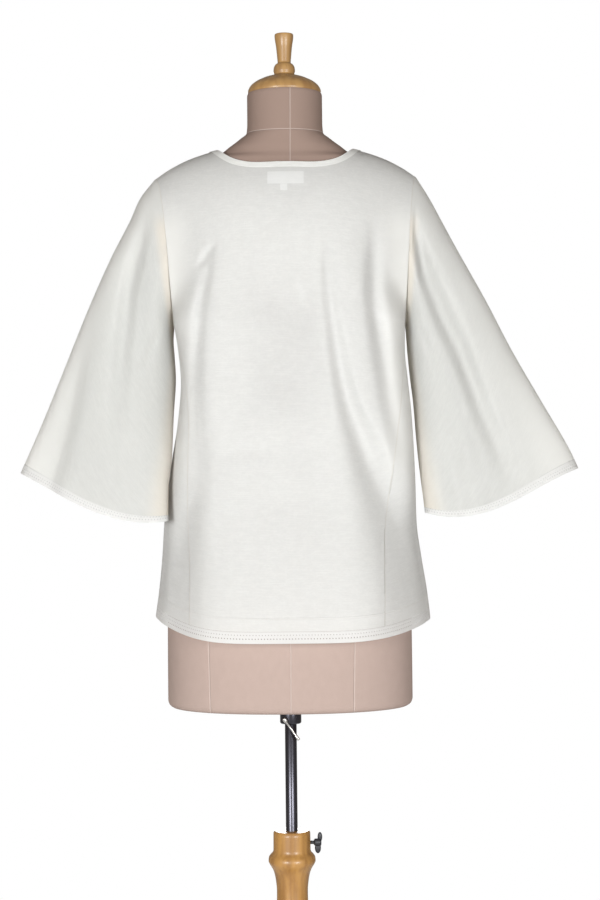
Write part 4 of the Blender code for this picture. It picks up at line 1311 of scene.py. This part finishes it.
class TUNIC_OT_studio(bpy.types.Operator):
    """Set up the floor, the soft lights and the camera"""

    bl_idname = "tunic.studio"
    bl_label = "Studio"

    def light(self, context, name, power, size, place):
        light = bpy.data.lights.new(name, "AREA")
        light.energy = power
        light.color = LIGHT_COLOUR
        light.size = size
        obj = bpy.data.objects.new(name, light)
        obj.location = place
        obj.rotation_euler = (Vector(AIM) - Vector(place)).to_track_quat("-Z", "Y").to_euler()
        context.scene.collection.objects.link(obj)

    def floor(self, scene):
        bm = bmesh.new()
        bmesh.ops.create_circle(bm, cap_ends=True, segments=96, radius=1.1)
        mesh = bpy.data.meshes.new("floor")
        bm.to_mesh(mesh)
        bm.free()
        floor = bpy.data.objects.new("floor", mesh)
        floor.location.z = -0.0005
        mesh.materials.append(Shader("pale_floor", (0.86, 0.86, 0.86), 0.7).material)
        scene.collection.objects.link(floor)

    def world(self, studio):
        """Even light from all round, behind a backdrop that is plain white in the picture."""
        world = bpy.data.worlds.new("studio")
        world.use_nodes = True
        nodes, links = world.node_tree.nodes, world.node_tree.links
        background = nodes["Background"]
        background.inputs["Color"].default_value = rgb(studio.sky_colour)
        background.inputs["Strength"].default_value = studio.sky
        seen = nodes.new("ShaderNodeBackground")
        seen.inputs["Color"].default_value = (1, 1, 1, 1)
        seen.inputs["Strength"].default_value = 1.0
        path, mix = nodes.new("ShaderNodeLightPath"), nodes.new("ShaderNodeMixShader")
        links.new(path.outputs["Is Camera Ray"], mix.inputs[0])
        links.new(background.outputs[0], mix.inputs[1])
        links.new(seen.outputs[0], mix.inputs[2])
        links.new(mix.outputs[0], nodes["World Output"].inputs["Surface"])
        return world

    def execute(self, context):
        studio = settings(context)[2]
        scene = context.scene
        self.floor(scene)
        scene.world = self.world(studio)
        self.light(context, "left_light", studio.left_light, 0.9, (-1.45, -2.9, 0.95))
        self.light(context, "right_light", studio.right_light, 0.9, (1.40, -2.9, 0.95))
        self.light(context, "far_light", studio.far_light, 1.2, (0, 3.2, 1.5))
        camera = bpy.data.objects.new("camera", bpy.data.cameras.new("camera"))
        camera.data.sensor_width = 36
        camera.data.lens = studio.lens
        camera.location = (CAMERA_X, -studio.distance, studio.camera_height)
        camera.rotation_euler = (math.pi / 2, CAMERA_TURN, 0)
        scene.collection.objects.link(camera)
        scene.camera = camera
        scene.view_settings.view_transform = "Standard"
        return {"FINISHED"}


OPERATORS = (
    TUNIC_OT_form,
    TUNIC_OT_panels,
    TUNIC_OT_gores,
    TUNIC_OT_sleeves,
    TUNIC_OT_trims,
    TUNIC_OT_wood,
    TUNIC_OT_metal,
    TUNIC_OT_studio,
)


class TUNIC_PT_panel(bpy.types.Panel):
    """Lists the pieces and their settings"""

    bl_idname = "TUNIC_PT_panel"
    bl_label = "Tunic"
    bl_space_type = "VIEW_3D"
    bl_region_type = "UI"
    bl_category = "Tunic"

    def draw(self, context):
        for group in settings(context):
            box = self.layout.box()
            for name in group.bl_rna.properties.keys():
                if name not in {"rna_type", "name"}:
                    box.prop(group, name)
        for operator in OPERATORS:
            self.layout.operator(operator.bl_idname)


CLASSES = (ClothLook, FormLook, StudioSetting, *OPERATORS, TUNIC_PT_panel)


def register():
    for cls in CLASSES:
        bpy.utils.register_class(cls)
    bpy.types.Scene.tunic_cloth = bpy.props.PointerProperty(type=ClothLook)
    bpy.types.Scene.tunic_form = bpy.props.PointerProperty(type=FormLook)
    bpy.types.Scene.tunic_studio = bpy.props.PointerProperty(type=StudioSetting)


def unregister():
    del bpy.types.Scene.tunic_studio
    del bpy.types.Scene.tunic_form
    del bpy.types.Scene.tunic_cloth
    for cls in reversed(CLASSES):
        bpy.utils.unregister_class(cls)


def main():
    register()
    bpy.ops.tunic.form()
    bpy.ops.tunic.panels()
    bpy.ops.tunic.gores()
    bpy.ops.tunic.sleeves()
    bpy.ops.tunic.trims()
    bpy.ops.tunic.wood()
    bpy.ops.tunic.metal()
    bpy.ops.tunic.studio()


if __name__ == "__main__":
    main()
